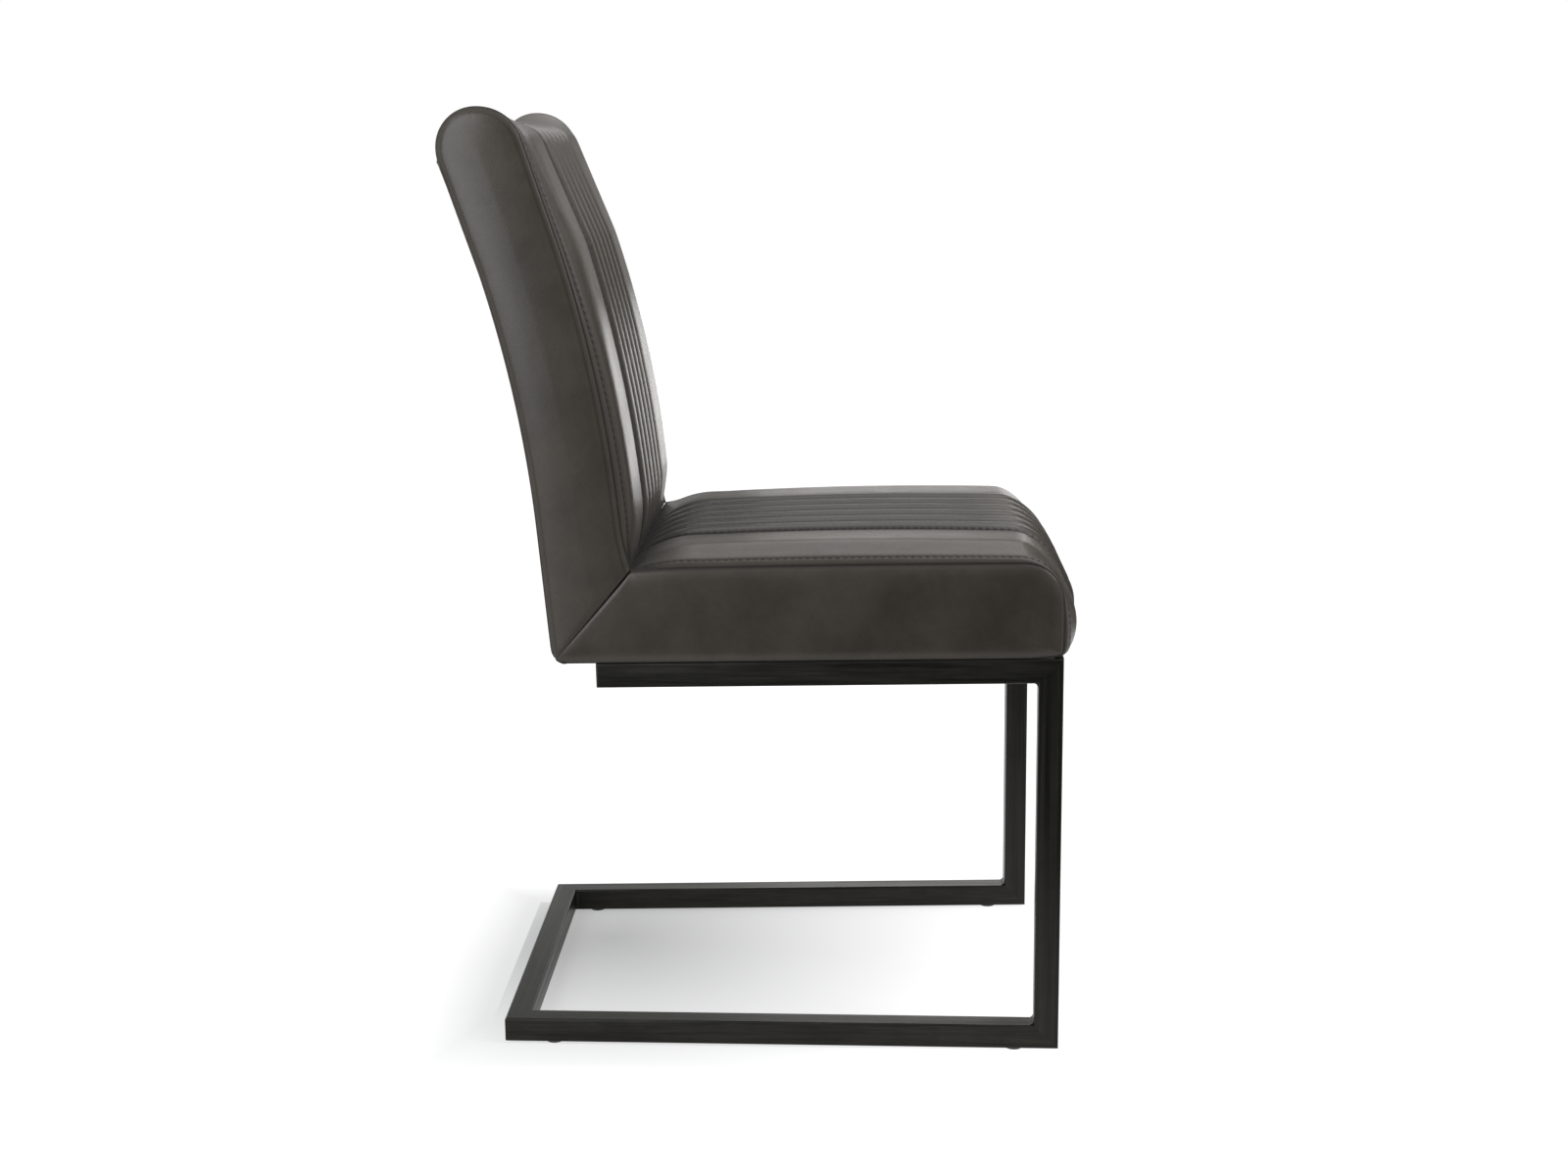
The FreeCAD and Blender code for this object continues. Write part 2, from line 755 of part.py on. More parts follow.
def dust_cover():
    rear = rear_corner()[2][0] - soft_gap
    corners = [seat_plane(dust_cover_front, 0), seat_plane(rear, 0),
               seat_plane(rear, dust_cover_thickness), seat_plane(dust_cover_front, dust_cover_thickness)]
    holes = []
    for top in all_base_screw_axes():
        low = top - screw_up * washer_thickness
        holes.append(Part.makeCylinder(washer_radius / 2, 3 * washer_thickness, low, screw_up))
    return flat_sided(corners, board_side_inset).cut(Part.makeCompound(holes))


def board_face_nodes(inside, foot, head):
    """The back board's rear or front face as nodes from its foot to its head."""
    low = back_low_point(foot, inside)
    middle_lean = (lower_lean + upper_lean) / 2
    high = back_high_point(back_top_straight - head, inside)
    nodes = [Node(low[0], low[1], 0, 0)]
    for lean, via in ((lower_lean, False), (middle_lean, True), (upper_lean, False)):
        y, z = back_point(lean, inside)
        nodes.append(Node(y, z, 0, 0, via=via))
    nodes.append(Node(high[0], high[1], 0, 0))
    return nodes


def back_board_front():
    """How far the back board's front face lies in front of the rear face of the back."""
    return leather + soft_gap + back_board_thickness


def back_board():
    foot = rail_top(seat_depth) + back_board_foot
    rear, rear_points = path_edges(board_face_nodes(leather + soft_gap, foot, back_board_head), 0, 0, 0)
    front, front_points = path_edges(board_face_nodes(back_board_front(), foot, back_board_head), 0, 0, 0)
    ends = [Part.makeLine(rear_points[-1], front_points[-1]), Part.makeLine(front_points[0], rear_points[0])]
    board = across_chair(rear + front + ends, board_side_inset)
    for point, inwards in bracket_back_screws():
        board = board.cut(screw_hole(point, inwards))
        board = board.cut(mirrored(screw_hole(point, inwards)))
    return board


def seat_foam():
    nodes = seat_nodes(soft_gap)
    inset = leather + soft_gap
    board_top = seat_board_top() + soft_gap
    rear_y = mitre_y(rail_top(seat_depth) + board_top) - soft_gap
    wires = []
    for s in foam_stations():
        edges, points = path_edges(nodes, s, 0, inset)
        hem = seat_hem_height + quilt + soft_gap
        front = seat_board_front - soft_gap
        corners = [plane_point(s, *seat_plane(front, hem)), plane_point(s, *seat_plane(front, board_top)),
                   plane_point(s, *seat_plane(rear_y, board_top))]
        wires.append(closed_wire(edges, points[-1], corners))
    foam = Part.makeLoft(wires, True, True)
    relief = bracket(soft_gap)
    return foam.cut(relief).cut(mirrored(relief))


def back_foam():
    nodes = back_nodes(soft_gap)
    inset = leather + soft_gap
    face = back_board_front() + soft_gap
    foot = rail_top(seat_depth) + back_board_foot
    front_nodes = board_face_nodes(face, foot, back_board_head - soft_gap)
    board_head = back_high_point(back_top_straight - back_board_head + soft_gap, leather + soft_gap)
    low_z = mitre_crossing(face, soft_gap)
    front_nodes[0] = Node(*back_low_point(low_z, face), 0, 0)
    wires = []
    for s in foam_stations():
        edges, points = path_edges(nodes, s, 0, inset)
        down, down_points = path_edges(front_nodes, s, 0, 0)
        behind = plane_point(s, *board_head)
        edges.append(Part.makeLine(points[-1], behind))
        edges.append(Part.makeLine(behind, down_points[-1]))
        edges.extend(reversed(down))
        edges.append(Part.makeLine(down_points[0], points[0]))
        wires.append(Part.Wire(Part.__sortEdges__(edges)))
    foam = Part.makeLoft(wires, True, True)
    relief = bracket(soft_gap)
    return foam.cut(relief).cut(mirrored(relief))


# Angle brackets and their countersunk screws

def round_edge(shape, corner, radius):
    """Rounds the edge that runs across the chair through a corner of the section."""
    for edge in shape.Edges:
        middle = edge.CenterOfMass
        if abs(middle.y - corner.y) < 0.01 and abs(middle.z - corner.z) < 0.01:
            return shape.makeFillet(radius, [edge])
    raise ValueError("no edge at the corner")


def bracket(grow=0.0):
    """A flat bar bent up behind the seat, on the seat board and against the back board."""
    board_top = seat_board_top()
    inside = back_board_front()
    outer_z = rail_top(seat_depth) + board_top
    reach_y = back_low_point(outer_z, inside)[0] - bracket_reach - grow
    rise = outer_z + bracket_rise + grow
    thick = bracket_thickness + grow

    def meet(height, depth):
        """Where a line above the seat board crosses a line in front of the back board."""
        y = back_low_point(outer_z, depth)[0]
        for _ in range(4):
            y = back_low_point(rail_top(y) + height, depth)[0]
        return y, rail_top(y) + height

    corners = [seat_plane(reach_y, board_top), meet(board_top, inside), back_low_point(rise, inside),
               back_low_point(rise, inside + thick), meet(board_top + thick, inside + thick),
               seat_plane(reach_y, board_top + thick)]
    x = -bracket_spacing / 2 - bracket_width / 2 - grow
    points = [Vector(x, y, z) for y, z in corners]
    face = Part.Face(Part.makePolygon(points + [points[0]]))
    bar = face.extrude(Vector(bracket_width + 2 * grow, 0, 0))
    bar = round_edge(bar, points[4], bracket_bend_radius - grow)
    if grow > 0:
        return bar
    bar = round_edge(bar, points[1], bracket_bend_radius + bracket_thickness)
    for point, inwards in bracket_seat_screws() + bracket_back_screws():
        bar = bar.cut(screw_hole(point, inwards))
        bar = bar.cut(screw_head(point, inwards, fit_gap))
    return bar


def bracket_seat_screws():
    """Head centres and directions of the right bracket's screws into the seat board."""
    board_top = seat_board_top()
    outer_z = rail_top(seat_depth) + board_top
    rear = back_low_point(outer_z, back_board_front())[0] - 2 * bracket_screw_margin
    front = back_low_point(outer_z, back_board_front())[0] - bracket_reach + bracket_screw_margin / 1.5
    step = (rear - front) / (bracket_screw_count - 1)
    screws = []
    for i in range(bracket_screw_count):
        y = front + i * step
        point = Vector(-bracket_spacing / 2, y, rail_top(y) + board_top + bracket_thickness)
        screws.append((point, screw_up * -1))
    return screws


def bracket_back_screws():
    """Head centres and directions of the right bracket's screws into the back board."""
    outer_z = rail_top(seat_depth) + seat_board_top()
    low = outer_z + 1.8 * bracket_screw_margin
    high = outer_z + bracket_rise - bracket_screw_margin / 1.5
    step = (high - low) / (bracket_screw_count - 1)
    rearward = Vector(0, math.cos(lower_lean), -math.sin(lower_lean))
    screws = []
    for i in range(bracket_screw_count):
        y, z = back_low_point(low + i * step, back_board_front() + bracket_thickness)
        screws.append((Vector(-bracket_spacing / 2, y, z), rearward))
    return screws


def screw_hole(point, direction):
    return Part.makeCylinder(bracket_screw_radius + fit_gap, bracket_screw_length + fit_gap, point, direction)


def screw_head(point, direction, grow=0.0):
    depth = bracket_screw_head_radius - bracket_screw_radius
    return Part.makeCone(bracket_screw_head_radius + grow, bracket_screw_radius + grow, depth, point, direction)


def bracket_screw(point, direction):
    """A countersunk screw, flush with the bracket."""
    shank = Part.makeCylinder(bracket_screw_radius, bracket_screw_length, point, direction)
    return shank.fuse(screw_head(point, direction)).removeSplitter()


# Every piece by name

def all_pieces():
    pieces = {}
    pieces["front_leg_right"] = front_leg()
    pieces["front_leg_left"] = mirrored(front_leg())
    pieces["floor_rail_right"] = floor_rail()
    pieces["floor_rail_left"] = mirrored(floor_rail())
    pieces["seat_rail_right"] = seat_rail()
    pieces["seat_rail_left"] = mirrored(seat_rail())
    pieces["rear_floor_bar"] = rear_floor_bar()
    pieces["seat_cross_bar_front"] = cross_bar(cross_bar_front_y)
    pieces["seat_cross_bar_rear"] = cross_bar(cross_bar_rear_y)
    pieces["weld_beads"] = both_sides(right_weld_beads())
    pieces["rail_end_plugs"] = both_sides([rail_end_plug()])
    pieces["floor_glides"] = both_sides([floor_glide(p) for p in glide_places()])
    tops = all_base_screw_axes()
    pieces["base_screws"] = Part.makeCompound([base_screw(t) for t in tops])
    pieces["base_washers"] = Part.makeCompound([base_washer(t) for t in tops])
    pieces["tee_nuts"] = Part.makeCompound([tee_nut(t) for t in tops])
    pieces["seat_board"] = seat_board()
    pieces["dust_cover"] = dust_cover()
    pieces["seat_foam"] = seat_foam()
    pieces["seat_top_cover"] = seat_top_cover()
    pieces["seat_side_cover_right"] = seat_side_cover()
    pieces["seat_side_cover_left"] = mirrored(seat_side_cover())
    pieces["back_board"] = back_board()
    pieces["back_bracket_right"] = bracket()
    pieces["back_bracket_left"] = mirrored(bracket())
    screws = [bracket_screw(p, d) for p, d in bracket_seat_screws() + bracket_back_screws()]
    pieces["bracket_screws"] = both_sides(screws)
    pieces["back_foam"] = back_foam()
    pieces["back_front_cover"] = back_front_cover()
    pieces["back_side_cover_right"] = back_side_cover()
    pieces["back_side_cover_left"] = mirrored(back_side_cover())
    pieces["back_rear_cover"] = back_rear_cover()
    return pieces


def build():
    """Moves the origin to the floor under the middle of the chair and writes every piece."""
    os.makedirs("parts", exist_ok=True)
    pieces = all_pieces()
    box = Part.makeCompound(list(pieces.values())).optimalBoundingBox(False)
    shift = Vector(0, -(box.YMin + box.YMax) / 2, 0)
    for name, shape in pieces.items():
        shape.translate(shift)
        shape.exportStep("parts/" + name + ".step")
        print(name, len(shape.Solids), "solids", round(shape.Volume / 1000, 2), "cm3", shape.isValid())
    print("overall", round(box.XLength, 1), round(box.YLength, 1), round(box.ZLength, 1), "moved", shift.y)


build()
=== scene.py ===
"""Cantilever dining chair: upholstery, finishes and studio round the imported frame."""

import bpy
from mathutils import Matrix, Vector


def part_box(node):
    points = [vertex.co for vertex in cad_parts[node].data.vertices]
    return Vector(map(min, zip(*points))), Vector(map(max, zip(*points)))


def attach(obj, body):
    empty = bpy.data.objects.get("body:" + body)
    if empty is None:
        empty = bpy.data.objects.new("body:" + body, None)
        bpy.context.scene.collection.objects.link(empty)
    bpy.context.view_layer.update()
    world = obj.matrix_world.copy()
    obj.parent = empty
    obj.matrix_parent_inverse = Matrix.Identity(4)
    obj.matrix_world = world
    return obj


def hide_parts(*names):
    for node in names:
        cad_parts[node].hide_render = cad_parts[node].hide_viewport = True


bl_info = {
    "name": "Cantilever Dining Chair",
    "version": (1, 0, 0),
    "blender": (4, 5, 0),
    "location": "View3D > Sidebar > Chair",
    "description": "Upholstered seat and back, frame finishes and a studio for a cantilever dining chair",
    "category": "Add Mesh",
}

import math

import bmesh
import bpy
import numpy as np
from bpy.props import FloatProperty, FloatVectorProperty, IntProperty
from mathutils import Matrix, Vector

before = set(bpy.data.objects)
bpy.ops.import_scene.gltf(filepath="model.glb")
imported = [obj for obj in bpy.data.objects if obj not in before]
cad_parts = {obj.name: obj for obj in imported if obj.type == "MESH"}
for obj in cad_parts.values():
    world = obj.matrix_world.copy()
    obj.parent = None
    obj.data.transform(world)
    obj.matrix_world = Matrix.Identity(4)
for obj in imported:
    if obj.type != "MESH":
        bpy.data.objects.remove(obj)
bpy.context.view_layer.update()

# Places shared by the cushions, in metres. The rear floor bar gives where the chair's own
# depths start: 0 at the front faces of the legs, growing rearwards.
FRAME_DEPTH = 0.570
DEPTH_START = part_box("rear_floor_bar")[1][1] - FRAME_DEPTH
HALF_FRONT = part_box("seat_rail_left")[1][0]
SIDE_TAPER = 0.018 / FRAME_DEPTH
RAIL_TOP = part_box("seat_rail_left")[1][2]
RAIL_SLOPE = math.tan(math.radians(0.85))
SEAT_DEPTH = 0.427
LEAN_LOW = math.radians(4.9)
LEAN_HIGH = math.radians(16.8)
LEAN_MIDDLE = 0.5 * (LEAN_LOW + LEAN_HIGH)
BACK_THICK = 0.079
BEND_RADIUS = 1.237
CREASE_HEIGHT = 0.095
CREASE_DEPTH = 0.007
BEND_START = (0.015, 0.045)
UPPER_STRAIGHT = 0.114
CORNER_RADIUS = 0.016
FRONT_EDGE = 0.0053

# How the covers are sewn, in metres: how far a channel stands out between its grooves, the depth
# of the narrow valley in a groove, and how high the seat's underside lies over the rails.
CHANNEL_PUFF = 0.0036
GROOVE_VALLEY = 0.0011
UNDER_GAP = 0.0004

# Samples along the seat's and the back's outlines, along the mitre seam and along the underside.
SEAT_SAMPLES, BACK_SAMPLES, MITRE_SAMPLES, UNDER_SAMPLES = 380, 440, 60, 110


def half_width(y):
    """Half the chair's width at a depth: it narrows evenly towards the rear."""
    return HALF_FRONT - SIDE_TAPER * y


def rail_top(y):
    """Height of the seat rails' top, which falls evenly towards the rear."""
    return RAIL_TOP - RAIL_SLOPE * y


CREASE_Z = rail_top(SEAT_DEPTH) + CREASE_HEIGHT


def smoothstep(x, low, high):
    """0 below low, 1 above high, and 3t^2 - 2t^3 between."""
    t = np.clip((x - low) / (high - low), 0.0, 1.0)
    return t * t * (3.0 - 2.0 * t)


def bell(x, width):
    """exp(-(x / width)^2)."""
    return np.exp(-((x / width) ** 2))


def fade(x, width):
    """exp(-x / width)."""
    return np.exp(-x / width)


# Sizes and colours that a user may change

def length(name, description, default, high, low=0.0):
    return FloatProperty(name=name, description=description, default=default, min=low, max=high,
                         subtype="DISTANCE", unit="LENGTH")


def share_of_one(name, description, default):
    return FloatProperty(name=name, description=description, default=default, min=0.0, max=1.0, subtype="FACTOR")


def tint(name, description, default):
    return FloatVectorProperty(name=name, description=description, default=default, size=3, min=0.0, max=1.0,
                               subtype="COLOR")


def power(name, description, default, high=500.0):
    return FloatProperty(name=name, description=description, default=default, min=0.0, max=high, unit="POWER")


class CHAIR_PG_upholstery(bpy.types.PropertyGroup):
    seat_crown: length("Seat crown", "How far the seat's top swells above its edge seam", 0.0172, 0.04)
    back_crown: length("Back crown", "How far the back's front swells out of its edge seam", 0.0142, 0.04)
    top_dip: length("Top dip", "How far the back's top sinks between its two ends", 0.0145, 0.03)
    front_bow: length("Front bow", "How far the seat's front bows out in the middle", 0.0043, 0.02)
    channels: IntProperty(name="Channels", description="Stitched channels across each cushion",
                          default=6, min=1, max=16)
    channel_zone: length("Channel zone", "Half the width of the stitched channels together", 0.118, 0.2, 0.02)
    channel_depth: length("Channel depth", "Depth of the stitched grooves", 0.0042, 0.01)
    border_step: length("Border step", "Distance from the edge seam to the crest of the border", 0.050, 0.1, 0.02)
    topstitch: length("Topstitch", "Distance from the edge seam to the line of topstitching", 0.0075, 0.03, 0.002)
    side_dome: length("Side dome", "How far the side panels swell out", 0.0045, 0.01)
    pucker: length("Pucker", "Height of the small gathers between stitches", 0.00018, 0.003)
    stitch_length: length("Stitch length", "Distance from one stitch to the next", 0.0074, 0.02, 0.002)
    leather_colour: tint("Leather", "Main colour of the leather", (0.054, 0.046, 0.037))
    leather_roughness: share_of_one("Leather roughness", "Matte or polished leather", 0.47)


class CHAIR_PG_metal(bpy.types.PropertyGroup):
    steel_colour: tint("Steel", "Main colour of the darkened steel tube", (0.0215, 0.0205, 0.0178))
    steel_roughness: share_of_one("Steel roughness", "Spread of the tube's highlights", 0.38)


class CHAIR_PG_stage(bpy.types.PropertyGroup):
    lens: FloatProperty(name="Lens", description="Focal length of the camera on a 36 mm sensor",
                        default=50.209, min=10.0, max=300.0, unit="CAMERA")
    key_power: power("Key light", "Power of the softbox in front of the chair", 21.0)
    near_power: power("Near light", "Power of the softbox behind the near side", 28.0)
    far_power: power("Far light", "Power of the softbox above the far side", 5.0)
    strip_power: power("Strip light", "Power of the low strip that draws the light line on the back", 1.4, 100.0)
    top_power: power("Top light", "Power of the overhead softbox", 21.0)
    ambient: FloatProperty(name="Ambient", description="Strength of the even light from all round",
                           default=0.12, min=0.0, max=5.0)


# Outlines. A node is a point of the cushion's outline at the edge seam, with the direction out of
# the cushion and what the crown, grooves, bow, dip and flare reach there. "via" is the middle of an
# arc, and "roll" is the length over which a full border rises. A station is a line along the
# cushion, named by its place across, from -1 at one edge seam to 1 at the other.

def node(y, z, out, crown=0.0, groove=0.0, bow=0.0, dip=0.0, flare=0.0, via=False, roll=0.011):
    return dict(y=y, z=z, out=out, crown=crown, groove=groove, bow=bow, dip=dip, flare=flare, via=via, roll=roll)


def seam_distance(s):
    """Distance of each station from the nearer edge seam."""
    return (1.0 - np.abs(s)) * HALF_FRONT


def crown_share(s, step, full, roll):
    """Share of the crown at each station, from 0 at the edge seam to 1 at the crest of the border.

    The stepped border is 0.60 (1 - exp(-e / 8 mm)) for its outer roll plus 0.40 smoothstep for the
    step up to the crest; the full border is 1 - exp(-(e / roll)^1.35). full mixes the two, and e is
    the distance from the edge seam."""
    e = seam_distance(s)
    stepped = 0.60 * (1.0 - fade(e, 0.008)) + 0.40 * smoothstep(e, 0.24 * step, 1.06 * step)
    return stepped * (1.0 - full) + (1.0 - np.exp(-((e / roll) ** 1.35))) * full


def middle_share(s, step):
    """1 - (s / s0)^2 between the border crests at s0, and 0 outside them."""
    crest = 1.0 - step / HALF_FRONT
    return np.maximum(0.0, 1.0 - (s / crest) ** 2)


def node_points(n, s, step, full):
    """Place of a node at each station: its seam place, plus out times crown and flare, less bow and dip.

    The flare is the part of the swelling that is there at the two ends and not in the middle."""
    reach = n["crown"] * crown_share(s, step, full, n["roll"]) + n["flare"] * s ** 4
    y = n["y"] + n["out"][0] * reach - n["bow"] * middle_share(s, step)
    z = n["z"] + n["out"][1] * reach - n["dip"] * (1.0 - s * s)
    return np.stack([y, z], -1)


def arc_points(a, b, c, t):
    """Points at shares t of the circle arc from a through b to c, for every station at once."""
    ax, ay = a[:, 0], a[:, 1]
    bx, by = b[:, 0], b[:, 1]
    cx, cy = c[:, 0], c[:, 1]
    d = 2.0 * (ax * (by - cy) + bx * (cy - ay) + cx * (ay - by))
    d = np.where(np.abs(d) < 1e-12, 1e-12, d)
    aa, bb, cc = ax * ax + ay * ay, bx * bx + by * by, cx * cx + cy * cy
    ux = (aa * (by - cy) + bb * (cy - ay) + cc * (ay - by)) / d
    uy = (aa * (cx - bx) + bb * (ax - cx) + cc * (bx - ax)) / d
    r = np.hypot(ax - ux, ay - uy)
    start = np.arctan2(ay - uy, ax - ux)
    mid = start + (np.arctan2(by - uy, bx - ux) - start + math.pi) % (2.0 * math.pi) - math.pi
    end = mid + (np.arctan2(cy - uy, cx - ux) - mid + math.pi) % (2.0 * math.pi) - math.pi
    angle = start[:, None] + (end - start)[:, None] * t
    return np.stack([ux[:, None] + r[:, None] * np.cos(angle), uy[:, None] + r[:, None] * np.sin(angle)], -1)


def blurred(padded, reach, pitch, width):
    """Samples a pitch apart, each the mean of its neighbours under a bell curve of that width.

    They lie along the second last axis. The reach extra ones at both ends drop out."""
    weights = np.exp(-0.5 * (np.arange(-reach, reach + 1) * pitch / width) ** 2)
    weights /= weights.sum()
    size = padded.shape[-2] - 2 * reach
    return sum(w * padded[..., k:k + size, :] for k, w in enumerate(weights))


def swept_outline(nodes, s, step, full, count, soften=0.006):
    """The outline at every station: arcs and lines through the nodes, softened where they meet.

    It is sampled finely, spaced evenly by the mean length, and blurred along its length by a bell
    curve of that width, with its two ends held. The groove share follows the same samples."""
    points = [node_points(n, s, step, full) for n in nodes]
    t = np.linspace(0.0, 1.0, 60, endpoint=False)
    parts, shares = [], []
    i = 0
    while i < len(nodes) - 1:
        jump = 2 if nodes[i + 1]["via"] else 1
        if jump == 2:
            parts.append(arc_points(points[i], points[i + 1], points[i + 2], t))
        else:
            parts.append(points[i][:, None] * (1.0 - t[:, None]) + points[i + 1][:, None] * t[:, None])
        known = np.linspace(0.0, 1.0, jump + 1)
        shares.append(np.interp(t, known, [n["groove"] for n in nodes[i:i + jump + 1]]))
        i += jump
    line = np.concatenate(parts + [points[-1][:, None]], 1)
    share = np.concatenate(shares + [[nodes[-1]["groove"]]])
    lengths = np.linalg.norm(np.diff(line, axis=1), axis=2).mean(0)
    along = np.concatenate([[0.0], np.cumsum(lengths)])
    fine = np.linspace(0.0, along[-1], 4 * count)
    index = np.interp(fine, along, np.arange(len(along)))
    low = np.minimum(index.astype(int), line.shape[1] - 2)
    f = (index - low)[:, None]
    even = line[:, low] * (1.0 - f) + line[:, low + 1] * f
    share = np.interp(fine, along, share)
    reach = max(1, int(3.0 * soften / fine[1]))
    left = 2.0 * even[:, :1] - even[:, reach:0:-1]
    right = 2.0 * even[:, -1:] - even[:, -2:-reach - 2:-1]
    even = blurred(np.concatenate([left, even, right], 1), reach, fine[1], soften)
    share = blurred(np.pad(share, reach, "edge")[:, None], reach, fine[1], soften)[:, 0]
    pick = np.round(np.linspace(0, even.shape[1] - 1, count)).astype(int)
    return even[:, pick], share[pick], fine[pick]


def out_of(line, sign):
    """Unit directions square to each outline in its plane; sign says which side is out."""
    along = np.gradient(line, axis=1)
    along /= np.linalg.norm(along, axis=2, keepdims=True)
    return sign * np.stack([along[..., 1], -along[..., 0]], -1)


def in_space(x, flat):
    """Points of the chair from their places across and their (depth, height)."""
    return np.stack([x, flat[..., 0] + DEPTH_START, flat[..., 1]], -1)


def side_view(place):
    """The (depth, height) of points of the chair."""
    return place[..., 1:] - [DEPTH_START, 0.0]


def walked(path):
    """Lengths along a path from its start to each of its points."""
    return np.concatenate([[0.0], np.cumsum(np.linalg.norm(np.diff(path, axis=0), axis=1))])


def at_lengths(path, known, wanted):
    """The points of a path at the wanted lengths, from the known length of each of its points."""
    return np.stack([np.interp(wanted, known, path[:, k]) for k in range(path.shape[1])], -1)


# Covers

def across_channel(s, settings):
    """How far each station lies across its channel, 0 in its middle and 1 at its grooves, and their pitch."""
    pitch = 2.0 * settings.channel_zone / settings.channels
    return np.abs(2.0 * (((s * HALF_FRONT + settings.channel_zone) / pitch) % 1.0) - 1.0), pitch


def channel_drop(s, settings):
    """Depth of the channels below the crown across the stations; their puff lifts them, so it is less than 0.

    Inside the zone each channel drops by depth u^1.8 from its middle at u = 0 to its grooves at
    u = 1, plus the stitched valley exp(-(distance to the groove / 1.4 mm)^2). Outside it the
    border's edge rounds down to the first groove as (1 - distance / 16 mm)^2.6."""
    x = np.abs(s) * HALF_FRONT
    u, pitch = across_channel(s, settings)
    to_groove = (1.0 - u) * pitch / 2.0
    inside = settings.channel_depth * u ** 1.8 + GROOVE_VALLEY * bell(to_groove, 0.0014) - CHANNEL_PUFF
    lip = settings.channel_depth + GROOVE_VALLEY - CHANNEL_PUFF
    outside = lip * (1.0 - np.clip((x - settings.channel_zone) / 0.016, 0.0, 1.0)) ** 2.6
    return np.where(x <= settings.channel_zone, inside, outside)


def groove_nearness(s, settings):
    """The nearest stitched groove's number, and exp(-(distance / w)^2) from it for w of 2.6 and 5.5 mm."""
    pitch = 2.0 * settings.channel_zone / settings.channels
    x = s * HALF_FRONT + settings.channel_zone
    number = np.clip(np.round(x / pitch), 0, settings.channels)
    gap = x - number * pitch
    return number, bell(gap, 0.0026), bell(gap, 0.0055)


def stations(settings):
    """Stations across a cushion: close together at the seams and in the grooves."""
    border = np.array([0, 0.4, 0.9, 1.6, 2.6, 3.8, 5.2, 6.4, 7.5, 8.6, 9.8, 11.2, 13, 15, 17.5, 20, 23, 26, 29, 32,
                       35.5, 39, 43, 47, 51, 56, 62, 69, 77, 86, 94]) / 1000.0
    edge = np.array([14.5, 12, 9.5, 7.5, 5.5, 4, 2.8, 1.8, 1.0]) / 1000.0 + settings.channel_zone
    pitch = 2.0 * settings.channel_zone / settings.channels
    # Distances from a groove in a channel that is 39.333 mm wide.
    inside = np.array([0, 0.7, 1.5, 2.8, 4.8, 8.0, 13.0]) / 39.333 * pitch
    one = np.concatenate([inside, [pitch / 2.0], pitch - inside[:0:-1]])
    zone = np.concatenate([i * pitch + one for i in range(settings.channels)] + [[2.0 * settings.channel_zone]])
    side = np.concatenate([HALF_FRONT - border[HALF_FRONT - border > edge[0] + 0.001], edge])
    return np.concatenate([-side, zone - settings.channel_zone, side[::-1]]) / HALF_FRONT


def seam_valley(s):
    """Depth of the valley along the edge seam: 1.5 mm exp(-e / 1.1 mm), e being the seam distance."""
    return 0.0015 * fade(seam_distance(s), 0.0011)


def sewn_in(s, flat):
    """Points of a cover: stations times the half width there, drawn in by 1 mm exp(-e / 1 mm) at the seams."""
    inset = 0.0010 * fade(seam_distance(s), 0.0010) * np.sign(s)
    return in_space(s[:, None] * half_width(flat[..., 0]) - inset[:, None], flat)


def cover_uv(s, along):
    """Metres across and metres along the outline."""
    return np.stack(np.broadcast_arrays(s[:, None] * HALF_FRONT, along[None]), -1)


def cover_marks(s, along, share, grooves, topstitch, full, settings):
    """Where a cover is darkened by dark seams and painted shade, and where it is lightened by wear and
    painted highlight, both from 0 to 1.

    Dark: the grooves and 0.75 u^4 beside them as painted shade, the edge seam by exp(-e / 1.6 mm), the
    topstitching, the crease at the outline's start as painted shadow, and the seat's channels behind its
    front roll as painted shade. Light: the border between two smoothsteps and a bell 18 mm from its seam,
    wear and painted highlight; the tops of the back's channels by 1 - u^2 and a bell along the seat's
    front roll, both painted highlight."""
    e = seam_distance(s)
    x = np.abs(s) * HALF_FRONT
    u = across_channel(s, settings)[0]
    stepped = 1.0 - full
    # painted shade over the channels, darkest beside the grooves
    painted_groove_shade = 0.75 * np.where(x <= settings.channel_zone, u ** 4, 0.0)
    front = 1.0 - 0.55 * stepped * smoothstep(along, along[-1] - 0.120, along[-1] - 0.085)
    behind = 1.0 - smoothstep(along, along[-1] - 0.200, along[-1] - 0.135)
    # painted shadow in the crease where seat and back meet
    crease = 1.5 * np.exp(-((along / (0.026 - 0.006 * full)) ** 1.6))
    deep = np.maximum(grooves, painted_groove_shade)[:, None] * share[None] + fade(e, 0.0016)[:, None] * front[None]
    deep = deep + 0.6 * topstitch[:, None] + crease[None]
    # painted shade over the seat's channels behind its front roll, where the back shades them
    deep = deep + 0.58 * stepped * (x < settings.channel_zone)[:, None] * (share * behind)[None]
    # the border's crest and the band 18 mm from its seam: wear and painted highlight
    rubbed_and_painted_highlight = smoothstep(e, 0.018 + 0.018 * stepped, 0.050) * (1.0 - smoothstep(e, 0.080, 0.108))
    rubbed_and_painted_highlight = rubbed_and_painted_highlight + 0.35 * bell(e - 0.018, 0.008)
    # painted highlight on the tops of the back's channels
    rubbed_and_painted_highlight = np.maximum(rubbed_and_painted_highlight, 0.35 * full * np.where(x <= settings.channel_zone, 1.0 - u ** 2, 0.0))
    # painted highlight along the seat's front roll
    roll = 0.85 * stepped * bell(along - along[-1] + 0.128, 0.030)
    worn = np.maximum(rubbed_and_painted_highlight[:, None], roll[None] * smoothstep(e, 0.012, 0.030)[:, None])
    return {"deep": np.clip(deep, 0.0, 1.0), "worn": worn}


